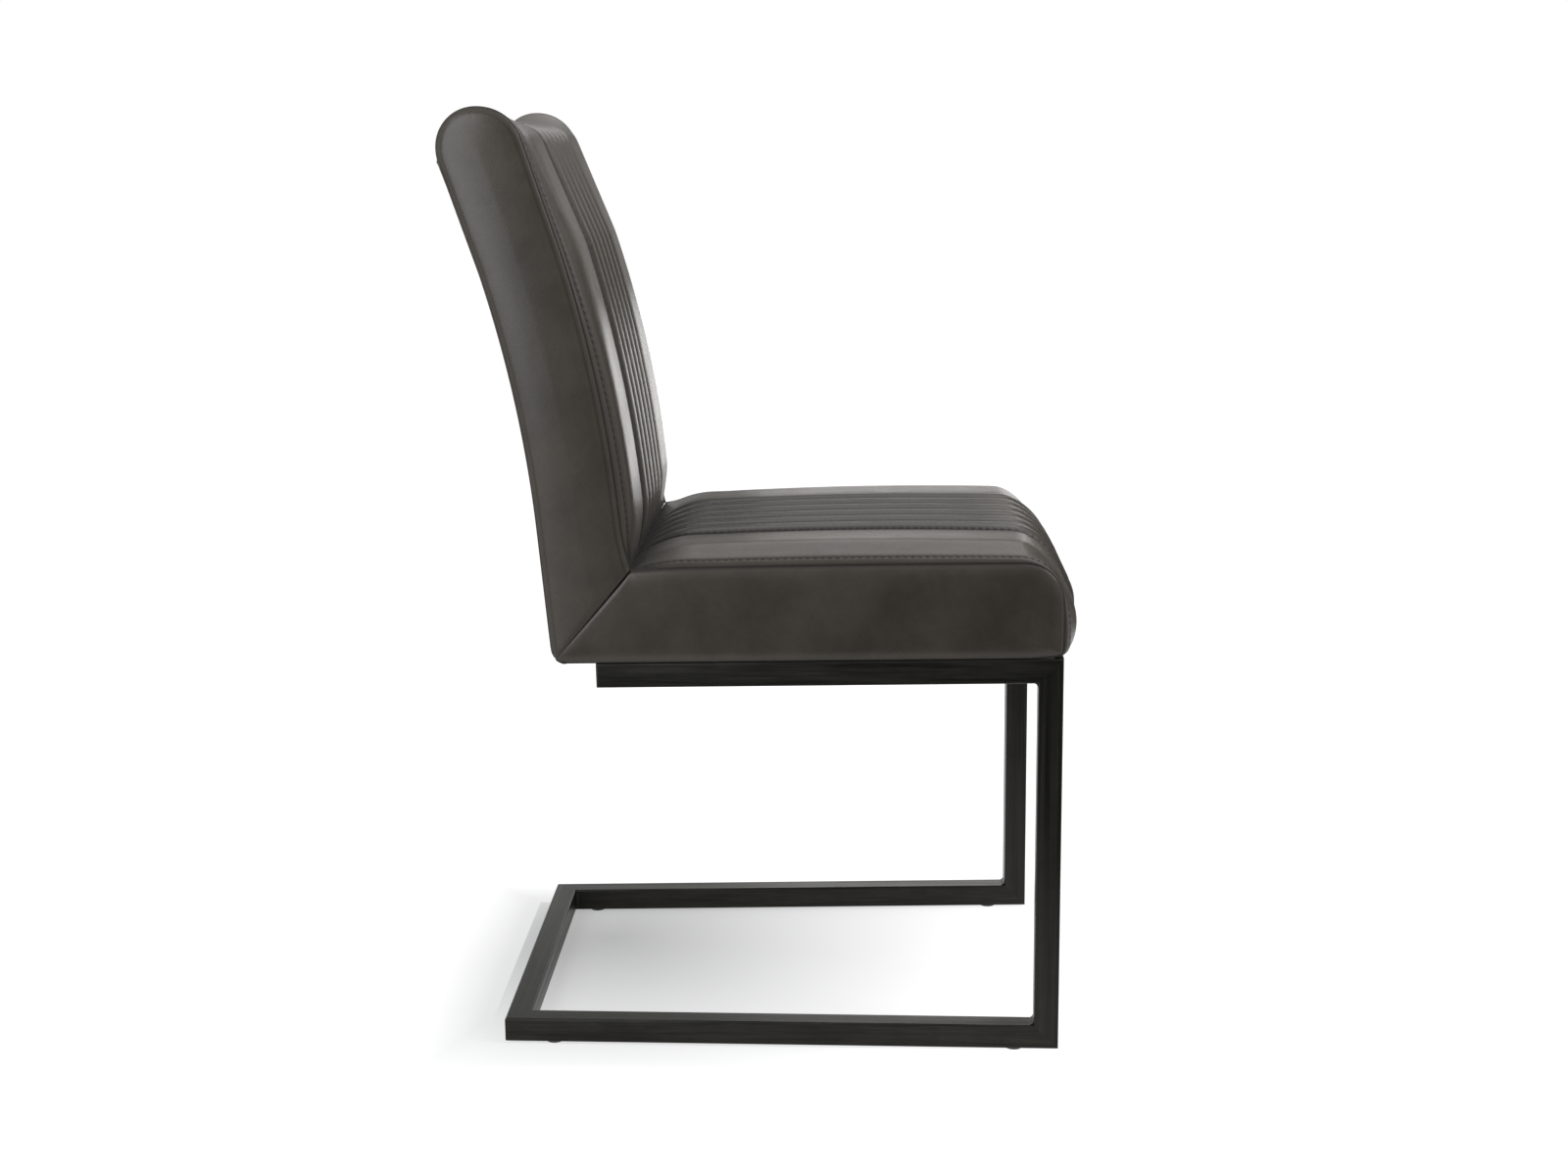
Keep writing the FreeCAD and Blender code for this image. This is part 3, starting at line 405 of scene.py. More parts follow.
def wrap_surface(nodes, settings, sign, count, full):
    """A cover's outer surface, stations across by samples along: its points, marks and UV.

    The outline is pushed in, along its own outward direction, by four things: the channels times
    their share there, which wanders by 1.5% along the grooves; the gathers beside the grooves,
    pucker (1 + sin) with one wave to a stitch, half a wave later in every other groove; the valley
    at the edge seam; and the topstitching, a bell 1.3 mm wide with a small wave of the same kind."""
    s = stations(settings)
    line, share, along = swept_outline(nodes, s, settings.border_step, full, count)
    number, grooves, near = groove_nearness(s, settings)
    phase = 2.0 * math.pi * along / settings.stitch_length
    wander = 1.0 + 0.009 * np.sin(along / 0.047 + 1.3) + 0.006 * np.sin(along / 0.019)
    drop = channel_drop(s, settings)[:, None] * (share * wander)[None]
    gathers = 1.0 + np.sin(phase[None] + math.pi * number[:, None])
    beside = near * (0.25 + 0.75 * (np.abs(s) * HALF_FRONT <= settings.channel_zone + 0.0005))
    drop += settings.pucker * (2.5 - 1.5 * full) * beside[:, None] * gathers * (share ** 4)[None]
    topstitch = bell(seam_distance(s) - settings.topstitch, 0.0013)
    drop += seam_valley(s)[:, None]
    drop += topstitch[:, None] * (0.0008 + 0.0007 * full + 0.00025 * np.sin(phase))[None]
    place = sewn_in(s, line - out_of(line, sign) * drop[..., None])
    return place, cover_marks(s, along, share, grooves, topstitch, full, settings), cover_uv(s, along)


def nearest_edge(points, edge):
    """Distance of every point to a polyline, both in the side plane."""
    a = edge[:-1]
    step = edge[1:] - a
    length = np.maximum((step ** 2).sum(1), 1e-12)
    rel = points[:, None] - a[None]
    t = np.clip((rel * step[None]).sum(2) / length[None], 0.0, 1.0)
    return np.linalg.norm(rel - step[None] * t[..., None], axis=2).min(1)


def panel_swell(flat, free, mitre, dome):
    """How far a side panel stands out of the side plane, and the distances that make it.

    Its swell is dome (1 - exp(-d / 14 mm)) plus an edge roll 1.3 mm (1 - exp(-d / 4 mm)), less a seam
    valley 1 mm exp(-d / 0.8 mm), where d is the distance to the panel's free edges. Along the mitre
    seam it only dips by 0.9 mm exp(-m / 3 mm) plus 0.7 mm exp(-m / 0.8 mm), m being the distance to
    that seam, and less where the free edges are near."""
    d = np.stack([nearest_edge(flat[:, row], free) for row in range(flat.shape[1])], 1)
    m = np.stack([nearest_edge(flat[:, row], mitre) for row in range(flat.shape[1])], 1)
    swell = dome * (1.0 - fade(d, 0.014)) + 0.0013 * (1.0 - fade(d, 0.004)) - 0.0010 * fade(d, 0.0008)
    dip = (0.0009 * fade(m, 0.003) + 0.0007 * fade(m, 0.0008)) * (1.0 - fade(d, 0.006))
    return swell - dip, d, m


def side_surface(top, bottom, side, dome, rows, free, mitre, lined=0.0):
    """A side panel between two lines that meet at both ends: a point is top (1 - w) + bottom w.

    It is dark along its seams and lighter beside them, each by a bell or an exponential of the
    distance; the bands beside the free seams are wear and painted highlight, the line beside the mitre
    seam painted highlight. lined is 1 where a second line of thread, 5 mm from the seam, takes over part
    of that, and where the panel's top is painted paler as a painted highlight."""
    w = 0.5 - 0.5 * np.cos(np.linspace(0.0, math.pi, rows))
    flat = top[:, None] * (1.0 - w[None, :, None]) + bottom[:, None] * w[None, :, None]
    swell, d, m = panel_swell(flat, free, mitre, dome)
    deep = np.maximum((1.0 - 0.5 * lined) * fade(d, 0.0016), 0.6 * fade(m, 0.0007))
    deep = np.maximum(deep, 0.5 * lined * bell(d - 0.0050, 0.0011))
    deep = deep * (0.45 + 0.55 * smoothstep(flat[..., 0], 0.004, 0.030))
    # lighter bands beside the free seams (wear and painted highlight) and beside the mitre seam (painted highlight)
    worn = np.maximum(0.5 * bell(d - 0.006, 0.004), 0.9 * bell(m - 0.0022, 0.0012))
    # painted highlight: the top of the back's side panels is painted paler
    worn = np.maximum(worn, 0.9 * lined * smoothstep(flat[..., 1], 0.78, 0.93))
    return in_space(side * (half_width(flat[..., 0]) + swell), flat), {"deep": deep, "worn": worn}, flat


def plain_surface(first, second, s, count, free, mitre, dome):
    """A hidden face between two lines across the chair, straight from one to the other.

    first and second are (depth, height) at every station. Its two ends follow the side panels."""
    w = np.linspace(0.0, 1.0, count)[None, :, None]
    flat = first[:, None] * (1.0 - w) + second[:, None] * w
    swell = np.zeros(flat.shape[:2])
    for end in (0, -1):
        swell[end] = panel_swell(flat[end][None], free, mitre, dome)[0][0]
    return in_space(s[:, None] * half_width(flat[..., 0]) + np.sign(s)[:, None] * swell, flat), {}, flat


def coarse_panel(place, marks, uv, keep):
    """A panel with only the kept stations, and the two loops that join it to the full edges across."""
    marks = {key: np.broadcast_to(value, place.shape[:2]) for key, value in marks.items()}

    def every(pick):
        return pick(place), {key: pick(value) for key, value in marks.items()}, pick(uv)

    return [every(lambda grid: grid[keep][:, 1:-1])] + [
        every(lambda grid: np.concatenate([grid[:, end], grid[keep[::-1], near]])[None])
        for end, near in ((0, 1), (-1, -2))]


def kept_stations(s, spacing, rim):
    """Numbers of the stations within rim of the two ends, and of every so many of the others."""
    chosen = (seam_distance(s) <= rim) | (np.arange(len(s)) % spacing == 0)
    chosen[[0, -1]] = True
    return np.nonzero(chosen)[0]


# Meshes

def placed(name, data):
    """A new object of the scene that shows that data."""
    made = bpy.data.objects.new(name, data)
    bpy.context.scene.collection.objects.link(made)
    return made


def closed_piece(name, mesh, weld=0.0):
    """Welds a mesh, turns its faces outwards, makes sure that it is closed and puts it in the scene."""
    work = bmesh.new()
    work.from_mesh(mesh)
    if weld:
        bmesh.ops.remove_doubles(work, verts=work.verts, dist=weld)
    bmesh.ops.recalc_face_normals(work, faces=work.faces)
    open_edges = sum(len(edge.link_faces) != 2 for edge in work.edges)
    work.to_mesh(mesh)
    work.free()
    if open_edges:
        raise RuntimeError(f"{name} has {open_edges} open edges")
    mesh.shade_smooth()
    return placed(name, mesh)


def grid_faces(rows, columns, start):
    """Quads of a grid whose vertices are numbered row by row."""
    i = np.arange(rows - 1)[:, None] * columns + np.arange(columns - 1)[None]
    i = i.reshape(-1) + start
    return np.stack([i, i + 1, i + columns + 1, i + columns], 1)


def closed_shell(name, surfaces, weld=0.000002):
    """Joins grids, and loops of one row, into one closed mesh with its marks and a UV map in metres."""
    places, faces, uvs = [], [], []
    marked = {"deep": [], "worn": []}
    start = 0
    for place, marks, uv in surfaces:
        rows, columns = place.shape[:2]
        faces += grid_faces(rows, columns, start).tolist() if rows > 1 else [list(range(start, start + columns))]
        places.append(place.reshape(-1, 3))
        uvs.append(uv.reshape(-1, 2))
        for key, values in marked.items():
            values.append(np.broadcast_to(marks.get(key, 0.0), (rows, columns)).reshape(-1))
        start += rows * columns
    mesh = bpy.data.meshes.new(name)
    mesh.from_pydata(np.concatenate(places), [], faces)
    for key, values in marked.items():
        attribute = mesh.attributes.new(key, "FLOAT", "POINT")
        attribute.data.foreach_set("value", np.concatenate(values).astype(np.float32))
    layer = mesh.uv_layers.new(name="leather")
    corner = np.zeros(len(mesh.loops), dtype=np.int32)
    mesh.loops.foreach_get("vertex_index", corner)
    layer.data.foreach_set("uv", np.concatenate(uvs)[corner].astype(np.float32).reshape(-1))
    return closed_piece(name, mesh, weld)


# Seat cushion

def rear_corner():
    """Top, middle and end of the rounded bottom corner of the rear face, in the side plane."""
    floor = rail_top(back_low(rail_top(SEAT_DEPTH) + CORNER_RADIUS)[0])
    cut = CORNER_RADIUS * (1.0 - math.sqrt(0.5))
    top = back_low(floor + CORNER_RADIUS)
    return top, (top[0] - cut, floor + cut), (top[0] - CORNER_RADIUS, rail_top(top[0] - CORNER_RADIUS))


def crease_node():
    """Where seat and back meet: both outlines start there, drawn in between the cushions."""
    return node(SEAT_DEPTH, CREASE_Z, (-0.653, 0.758), -CREASE_DEPTH)


def seat_nodes(settings):
    """The seat's outline from the crease over its top and its front roll to the hem under it.

    Heights are over the rails. The front roll is a quarter circle from its middle at 45 degrees."""
    r, low, half = 0.037, 0.060, math.sqrt(0.5)

    def at(y, height, out, crown_part, groove, bow_part=0.0, via=False):
        return node(y, rail_top(y) + height, out, crown_part * settings.seat_crown, groove,
                    bow_part * settings.front_bow, via=via)

    return [
        crease_node(),
        at(SEAT_DEPTH - 0.0235, 0.0963, (0, 1), 0.56, 0.6, via=True),
        at(0.360, 0.0970, (0, 1), 0.89, 1.0),
        at(0.19875, 0.0976, (0, 1), 1.0, 1.0, via=True),
        at(0.0375, 0.0970, (0, 1), 0.80, 1.0),
        at(0.0375 - r * half, low + r * half, (-half, half), 0.20, 1.0, 1.0, via=True),
        at(0.0, low, (-1, 0), 0.36, 1.0, 1.0),
        at(-0.0006, 0.0355, (-1, 0), 0.93, 0.9, 1.0, via=True),
        at(0.0, 0.011, (-1, 0), 0.86, 0.5, 0.8),
        at(0.0017, 0.0036, (-0.8, -0.15), 0.81, 0.2, 0.6, via=True),
        at(0.006, 0.0012, (0, -1), 0.0, 0.0),
    ]


def seat_surfaces(settings, cover):
    """The seat's cover, its two sides, the hidden face along the mitre and the underside.

    A side runs from the cover's seam and the mitre to the underside's edge and its rounded rear
    corner. Away from the sides the underside lies 1.6 mm higher, by a smoothstep."""
    place = cover[0]
    s = stations(settings)
    top, middle, end = rear_corner()
    seam = side_view(place[-1, ::-1])
    mitre = np.linspace(seam[-1], middle, MITRE_SAMPLES)
    path = np.concatenate([seam, mitre[1:]])
    run = np.linspace(0.0, 1.0, UNDER_SAMPLES)[:, None]
    under = seam[0] * (1.0 - run) + np.array(end) * run
    under[1:, 1] = rail_top(under[1:, 0]) + UNDER_GAP
    turn = math.pi / 8.0
    bend = (top[0] - CORNER_RADIUS * (1.0 - math.sin(turn)),
            rail_top(top[0]) + CORNER_RADIUS * (1.0 - math.cos(turn)))
    arc = arc_points(*np.array([[end], [bend], [middle]]), np.linspace(0.0, 1.0, 9))[0]
    low_path = np.concatenate([under, arc[1:]])
    lengths, low_lengths = walked(path), walked(low_path)
    opposite = at_lengths(low_path, low_lengths, lengths / lengths[-1] * low_lengths[-1])
    free = np.concatenate([seam[::-6], seam[:1], low_path[::6], low_path[-1:]])
    foot = np.tile(middle, (len(s), 1))
    face = plain_surface(side_view(place[:, 0]), foot, s, MITRE_SAMPLES, free, mitre, settings.side_dome)
    face[0][:, 0] = place[:, 0]
    flat = np.tile(opposite, (len(s), 1, 1))
    flat[:, 0] = side_view(place[:, -1])
    inner = 1.0 - smoothstep(np.abs(s), 0.93, 0.965)
    raised = (opposite[:, 0] > 0.010) & (opposite[:, 0] < end[0] - 0.004)
    flat[..., 1] += 0.0016 * inner[:, None] * raised[None]
    bottom = in_space(s[:, None] * half_width(flat[..., 0]), flat)
    bottom[:, 0], bottom[:, -1] = place[:, -1], face[0][:, -1]
    surfaces = [cover]
    for side, edge in ((-1.0, 0), (1.0, -1)):
        panel = side_surface(path, opposite, side, settings.side_dome, 44, free, mitre)
        panel[0][:len(seam), 0] = place[edge, ::-1]
        panel[0][0] = place[edge, -1]
        panel[0][-1] = face[0][edge, -1]
        face[0][edge] = panel[0][len(seam) - 1:, 0]
        bottom[edge] = panel[0][:, -1]
        surfaces.append(panel)
    surfaces += coarse_panel(*face, kept_stations(s, 12, 0.0))
    surfaces += coarse_panel(bottom, {}, flat, kept_stations(s, 12, 0.022))
    return surfaces


# Back cushion

def back_bend(lean, inside):
    """A point of the bent back at a lean, that far in front of its rear face: all arcs share a centre."""
    reach = BEND_RADIUS + BACK_THICK
    y = SEAT_DEPTH + BEND_START[0] + reach * math.cos(LEAN_LOW)
    z = CREASE_Z + BEND_START[1] - reach * math.sin(LEAN_LOW)
    return y - (BEND_RADIUS + inside) * math.cos(lean), z + (BEND_RADIUS + inside) * math.sin(lean)


def back_low(height):
    """The point of the rear face's straight lower part at that height."""
    y, z = back_bend(LEAN_LOW, 0.0)
    return y - (z - height) * math.tan(LEAN_LOW), height


def back_top(turn):
    """A point of the round top and its outward direction; turn is 0 at its front, 180 at its rear."""
    r = BACK_THICK / 2.0
    y, z = back_bend(LEAN_HIGH, r)
    y += UPPER_STRAIGHT * math.sin(LEAN_HIGH)
    z += UPPER_STRAIGHT * math.cos(LEAN_HIGH)
    angle = math.radians(turn) + LEAN_HIGH
    out = (-math.cos(angle), math.sin(angle))
    return (y + r * out[0], z + r * out[1]), out


def back_nodes(settings):
    """The back's outline from the crease up its bent front and over its round top to the rear seam."""
    crown, dip = settings.back_crown, settings.top_dip
    nodes = [
        crease_node(),
        node(SEAT_DEPTH + 0.006, CREASE_Z + 0.0226, (-0.93, 0.37), 0.6 * crown, 0.6, via=True),
    ]
    for lean, roll, via in ((LEAN_LOW, 0.010, False), (LEAN_MIDDLE, 0.012, True), (LEAN_HIGH, 0.020, False)):
        y, z = back_bend(lean, BACK_THICK + FRONT_EDGE)
        nodes.append(node(y, z, (-math.cos(lean), math.sin(lean)), crown, 1.0, via=via, roll=roll))
    for turn, crown_part, groove, dip_part, edge, flare, via in (
            (0, 0.40, 0.75, 0.04, 0.55, 0.0, False), (35, -0.10, 0.25, 0.5, 0.15, 0.0004, True),
            (70, 0.0, 0.0, 1.0, 0.0, 0.0004, False), (125, 0.0, 0.0, 1.0, 0.0, 0.0031, True),
            (180, 0.0, 0.0, 0.7, 0.0, 0.0035, False)):
        (y, z), out = back_top(turn)
        y, z = y + edge * FRONT_EDGE * out[0], z + edge * FRONT_EDGE * out[1]
        nodes.append(node(y, z, out, crown_part * crown, groove, dip=dip_part * dip, flare=flare, via=via,
                          roll=0.023))
    return nodes


def rear_nodes(settings):
    """The rear panel's outline from the seam at the top down the bent rear face to its bottom corner."""
    (y, z), out = back_top(180)
    nodes = [node(y, z, out, dip=0.7 * settings.top_dip, flare=0.0035)]
    for lean, via in ((LEAN_HIGH, False), (LEAN_MIDDLE, True), (LEAN_LOW, False)):
        nodes.append(node(*back_bend(lean, 0.0), (math.cos(lean), -math.sin(lean)), via=via))
    top, middle, end = rear_corner()
    bend = (top[0] - CORNER_RADIUS * (1.0 - math.cos(math.pi / 8)), middle[1] + (top[1] - middle[1]) * 0.46)
    return nodes + [node(*top, (1.0, 0.0)), node(*bend, (0.92, -0.38), via=True), node(*middle, (0.7, -0.7))]


def rear_panel(settings, cover):
    """The rear panel, whose top edge is the cover's.

    It swells by 1.6 mm (1 - exp(-e / 30 mm)) (1 - exp(-a / 30 mm)), a being the length from its top,
    and flat again over its last 40 mm. The valley along its top is 1.6 mm exp(-a / 1.6 mm)."""
    s = stations(settings)
    count = BACK_SAMPLES - MITRE_SAMPLES + 1
    line, _, along = swept_outline(rear_nodes(settings), s, settings.border_step, 1.0, count, soften=0.003)
    e = seam_distance(s)[:, None]
    drop = seam_valley(s)[:, None] + 0.0016 * fade(along, 0.0016)
    rise = 0.0016 * (1.0 - fade(e, 0.030)) * (1.0 - fade(along, 0.030))
    rise = rise * smoothstep(along[-1] - along, 0.0, 0.04)
    rear = sewn_in(s, line + out_of(line, -1.0) * (rise - drop)[..., None])
    rear[:, 0] = cover[0][:, -1]
    deep = np.clip(fade(e, 0.0016) + fade(along, 0.002), 0.0, 1.0)
    worn = 0.4 * bell(e - 0.006, 0.004)
    return rear, {"deep": deep, "worn": worn}, cover_uv(s, along)


def back_surfaces(settings, cover, rear):
    """The back's front cover over its round top, its two sides, its rear panel and its mitre face."""
    place, behind = cover[0], rear[0]
    s = stations(settings)
    front_path, rear_path = side_view(place[-1]), side_view(behind[-1, ::-1])
    mitre = np.linspace(front_path[0], rear_path[0], MITRE_SAMPLES)
    whole = np.concatenate([mitre, rear_path[1:]])
    free = np.concatenate([front_path[::6], front_path[-1:], rear_path[::-6], rear_path[:1]])
    face = plain_surface(side_view(place[:, 0]), side_view(behind[:, -1]), s, MITRE_SAMPLES, free, mitre,
                         settings.side_dome)
    face[0][:, 0], face[0][:, -1] = place[:, 0], behind[:, -1]
    surfaces = [cover]
    for side, edge in ((-1.0, 0), (1.0, -1)):
        panel = side_surface(front_path, whole, side, settings.side_dome, 64, free, mitre, 1.0)
        panel[0][:, 0] = place[edge]
        panel[0][0] = place[edge, 0]
        panel[0][-1] = place[edge, -1]
        panel[0][MITRE_SAMPLES - 1:, -1] = behind[edge, ::-1]
        face[0][edge] = panel[0][:MITRE_SAMPLES, -1]
        surfaces.append(panel)
    surfaces += coarse_panel(*rear, kept_stations(s, 5, 0.020))
    surfaces += coarse_panel(*face, kept_stations(s, 12, 0.0))
    return surfaces


# Thread and welt

def unit(v):
    return v / np.maximum(np.linalg.norm(v, axis=-1, keepdims=True), 1e-9)


def rings(line, aside, up, radius, sides, closed):
    """Circles of that radius round the points of a line, in the plane of aside and up."""
    angle = np.arange(sides + closed)[:, None] * (2.0 * math.pi / sides)
    ring = np.cos(angle) * aside[..., None, :] + np.sin(angle) * up[..., None, :]
    return line[..., None, :] + ring * radius[:, None, None]


def stitch_run(place, station, number, along, first, last, settings):
    """Stitches along one station of a cover: rounded pins, one to each stitch length, ends sunk in.

    A pin is 5 rings of 6 points: its radius is 0.45 mm sqrt(1 - 0.96 t^4) and its middle stands
    0.25 mm above the leather, less 0.7 mm t^4, where t runs from -1 to 1 along it."""
    pitch = settings.stitch_length
    count = int((last - first) / pitch)
    middle = (np.ceil(first / pitch) + np.arange(count) + 0.75 + 0.5 * (number % 2)) * pitch
    t = np.linspace(-1.0, 1.0, 5)
    where = middle[:, None] + 0.40 * pitch * t[None]
    spot = at_lengths(place[station], along, where)
    aside = unit(at_lengths(unit(place[station + 1] - place[station - 1]), along, where))
    ahead = unit(np.gradient(spot, axis=1))
    up = unit(np.cross(ahead, aside))
    away = spot.mean((0, 1)) - place.reshape(-1, 3).mean(0)
    up = up * np.sign((up * away).sum(-1).mean())
    line = spot + up * (0.00025 - 0.0007 * t[None, :, None] ** 4)
    return rings(line, np.cross(up, ahead), up, 0.00045 * np.sqrt(1.0 - 0.96 * t ** 4), 6, False)


def stitching(name, runs):
    """One mesh of all the pins: 24 quads round each and two quads at each end."""
    pins = np.concatenate(runs)
    j, k = np.meshgrid(np.arange(4), np.arange(6), indexing="ij")
    one, two = j * 6 + k, j * 6 + (k + 1) % 6
    body = np.stack([one, two, two + 6, one + 6], -1).reshape(-1, 4)
    ends = np.array([[0, 5, 4, 3], [0, 3, 2, 1], [24, 25, 26, 27], [24, 27, 28, 29]])
    pin = np.concatenate([body, ends])
    faces = (pin[None] + 30 * np.arange(len(pins))[:, None, None]).reshape(-1, 4)
    mesh = bpy.data.meshes.new(name)
    mesh.from_pydata(pins.reshape(-1, 3), [], faces.tolist())
    return closed_piece(name, mesh)


def cover_stitching(name, cover, settings, groove_end, edge_end):
    """Stitches in every groove and along both lines of topstitching of a cover.

    The two ends are the lengths along the outline, from the mitre, at which the stitches in the
    grooves and those along the edges end."""
    place, _, uv = cover
    along = uv[0, :, 1]
    x = stations(settings) * HALF_FRONT
    edge = HALF_FRONT - settings.topstitch
    grooves = np.linspace(-settings.channel_zone, settings.channel_zone, settings.channels + 1)
    lines = [(groove, i, 0.020, groove_end) for i, groove in enumerate(grooves)]
    lines += [(-edge, 0, 0.012, edge_end), (edge, 0, 0.012, edge_end)]
    return stitching(name, [stitch_run(place, int(np.argmin(np.abs(x - across))), i, along, first, last, settings)
                            for across, i, first, last in lines])


def welt_path(rear):
    """The welt's line round the rear panel's two long edges and its top, and its radius there.

    The line is rounded at the corners by a bell curve. The radius is 0.8 mm plus
    1 mm exp(-depth below the highest point / 20 mm), and runs out to 0 at both ends."""
    reach_down, pitch, reach = 250, 0.0015, 8
    path = np.concatenate([rear[0, reach_down:0:-1], rear[:, 0], rear[-1, 1:reach_down + 1]])
    lengths = walked(path)
    path = at_lengths(path, lengths, np.arange(0.0, lengths[-1], pitch))
    path = blurred(np.pad(path, ((reach, reach), (0, 0)), "edge"), reach, pitch, 0.0032)
    number = np.arange(len(path))
    tip = np.clip(np.minimum(number, number[::-1]) / 30.0, 0.1, 1.0) ** 0.5
    radius = (0.0008 + 0.0010 * np.exp((path[:, 2] - path[:, 2].max()) / 0.020)) * tip
    radius[[0, -1]] = 0.0
    return path, radius


def welt_tube(name, path, radius, sides=10):
    """A closed cord along a path: rings square to the path, which close to a point at each end."""
    ahead = unit(np.gradient(path, axis=0))
    aside = unit(np.cross(ahead, (0.0, 1.0, 0.0)))
    place = rings(path, aside, np.cross(aside, ahead), radius, sides, True)
    uv = np.stack(np.broadcast_arrays(np.arange(sides + 1)[None] * 0.001, np.arange(len(path))[:, None] * 0.002), -1)
    return closed_shell(name, [(place, {"worn": 0.5}, uv)], weld=0.00002)


# Materials

class Nodes:
    """Adds nodes to a tree and links them. A value may be a number, a colour or a node's output."""

    def __init__(self, tree):
        self.tree = tree

    def feed(self, made, values):
        """Links or sets the named inputs of a node."""
        for key, value in values.items():
            if isinstance(value, bpy.types.NodeSocket):
                self.tree.links.new(value, made.inputs[key])
            elif value is not None:
                made.inputs[key].default_value = value

    def add(self, kind, **values):
        """A new node with its options and its inputs set."""
        made = self.tree.nodes.new("ShaderNode" + kind)
        for key, value in values.items():
            if key in made.inputs:
                self.feed(made, {key: value})
            else:
                setattr(made, key, value)
        return made

    def mapped(self, scale=(1.0, 1.0, 1.0), turn=(0.0, 0.0, 0.0), move=(0.0, 0.0, 0.0)):
        """Object coordinates, scaled, turned and moved."""
        where = self.add("TexCoord").outputs["Object"]
        return self.add("Mapping", Scale=scale, Rotation=turn, Location=move, Vector=where).outputs["Vector"]

    def noise(self, vector, scale, detail=3.0, rough=0.55):
        return self.add("TexNoise", Scale=scale, Detail=detail, Roughness=rough, Vector=vector).outputs["Fac"]

    def mark(self, name):
        """A mark of the mesh's vertices."""
        return self.add("Attribute", attribute_name=name).outputs["Fac"]

    def mix(self, factor, first, second):
        """The first colour where factor is 0 and the second where it is 1."""
        made = self.add("Mix", data_type="RGBA")
        enabled = [k for k, socket in enumerate(made.inputs) if socket.enabled]
        self.feed(made, dict(zip(enabled, (factor, first, second))))
        return [socket for socket in made.outputs if socket.enabled][0]

    def calc(self, operation, first, second=None, clamp=False):
        made = self.add("Math", operation=operation, use_clamp=clamp)
        self.feed(made, {0: first, 1: second})
        return made.outputs[0]

    def times(self, first, second, clamp=False):
        return self.calc("MULTIPLY", first, second, clamp)

    def plus(self, first, second, clamp=False):
        return self.calc("ADD", first, second, clamp)

    def spread(self, value, low, high, to_low=0.0, to_high=1.0):
        """A value stretched from between low and high to between to_low and to_high, and held there."""
        made = self.add("MapRange", Value=value)
        self.feed(made, {"From Min": low, "From Max": high, "To Min": to_low, "To Max": to_high})
        return made.outputs["Result"]

    def bumps(self, height, strength, distance, under=None):
        """Normals tilted by a height field, on top of others if these are given."""
        return self.add("Bump", Strength=strength, Distance=distance, Height=height, Normal=under).outputs["Normal"]


def shade(colour, factor):
    return tuple(min(1.0, c * factor) for c in colour) + (1.0,)


def new_material(name, build):
    """A material; build adds its nodes and says what its shader's inputs are."""
    material = bpy.data.materials.new(name)
    material.use_nodes = True
    n = Nodes(material.node_tree)
    n.feed(material.node_tree.nodes["Principled BSDF"], build(n))
    return material


def leather_material(settings):
    """Waxed leather: cloudy colour, fine grain, darker in the seams and by painted shade, paler by wear and painted
    highlight.
    """
    red, green, blue = colour = tuple(settings.leather_colour)
    matte = settings.leather_roughness

    def build(n):
        plain = n.mapped()
        clouds = n.noise(plain, 14.0, 4.0, 0.6)
        streaks = n.noise(n.mapped((1.0, 0.45, 0.45), (0.35, 0.1, 0.2)), 55.0, 4.0, 0.65)
        fine = n.noise(plain, 420.0, 2.0, 0.6)
        worn, deep = n.mark("worn"), n.mark("deep")
        rubbed_and_painted_highlight = n.times(n.times(worn, n.spread(streaks, 0.35, 0.65, 0.25, 0.75), clamp=True), 0.55)
        base = n.mix(n.spread(clouds, 0.32, 0.68), shade(colour, 0.76), shade(colour, 1.20))
        base = n.mix(n.spread(streaks, 0.42, 0.72, 0.0, 0.38), base, shade((red, green * 0.99, blue * 0.97), 1.28))
        base = n.mix(n.spread(fine, 0.3, 0.7, 0.0, 0.22), base, shade(colour, 0.75))
        # paler by wear and painted highlight
        base = n.mix(rubbed_and_painted_highlight, base, shade((red * 1.02, green, blue * 0.98), 1.75))
        cells = n.add("TexVoronoi", feature="DISTANCE_TO_EDGE", Scale=620.0, Randomness=1.0, Vector=plain)
        pores = n.times(n.spread(cells.outputs["Distance"], 0.0, 0.25), 0.7)
        grain = n.plus(pores, n.times(n.noise(plain, 190.0), 0.8))
        rough = n.spread(n.plus(clouds, n.times(fine, 0.5)), 0.55, 0.95, matte - 0.07, matte + 0.09)
        waves = n.bumps(n.noise(plain, 26.0, 2.0, 0.5), 0.42, 0.0040)
        # darker by dark seams and painted shade, down to 0.16 of the colour
        return {"Base Color": n.mix(n.times(deep, 0.85), base, shade(colour, 0.16)),
                "Roughness": n.plus(rough, n.times(deep, 0.35), clamp=True),
                "Normal": n.bumps(grain, 0.22, 0.0006, waves),
                "Specular IOR Level": 0.12, "Coat Weight": 0.35, "Coat Roughness": 0.24,
                "Sheen Weight": 0.05, "Sheen Roughness": 0.5}

    return new_material("waxed_leather", build)


def thread_material(settings):
    """Bonded upholstery thread: a little darker than the leather, twisted, with a dull shine."""
    colour = tuple(settings.leather_colour)

    def build(n):
        twist = n.add("TexWave", bands_direction="DIAGONAL", Scale=900.0, Vector=n.mapped()).outputs["Fac"]
        return {"Base Color": n.mix(twist, shade(colour, 0.25), shade(colour, 0.6)),
                "Normal": n.bumps(twist, 0.3, 0.0002),
                "Specular IOR Level": 0.2, "Roughness": 0.75, "Sheen Weight": 0.1}

    return new_material("bonded_thread", build)


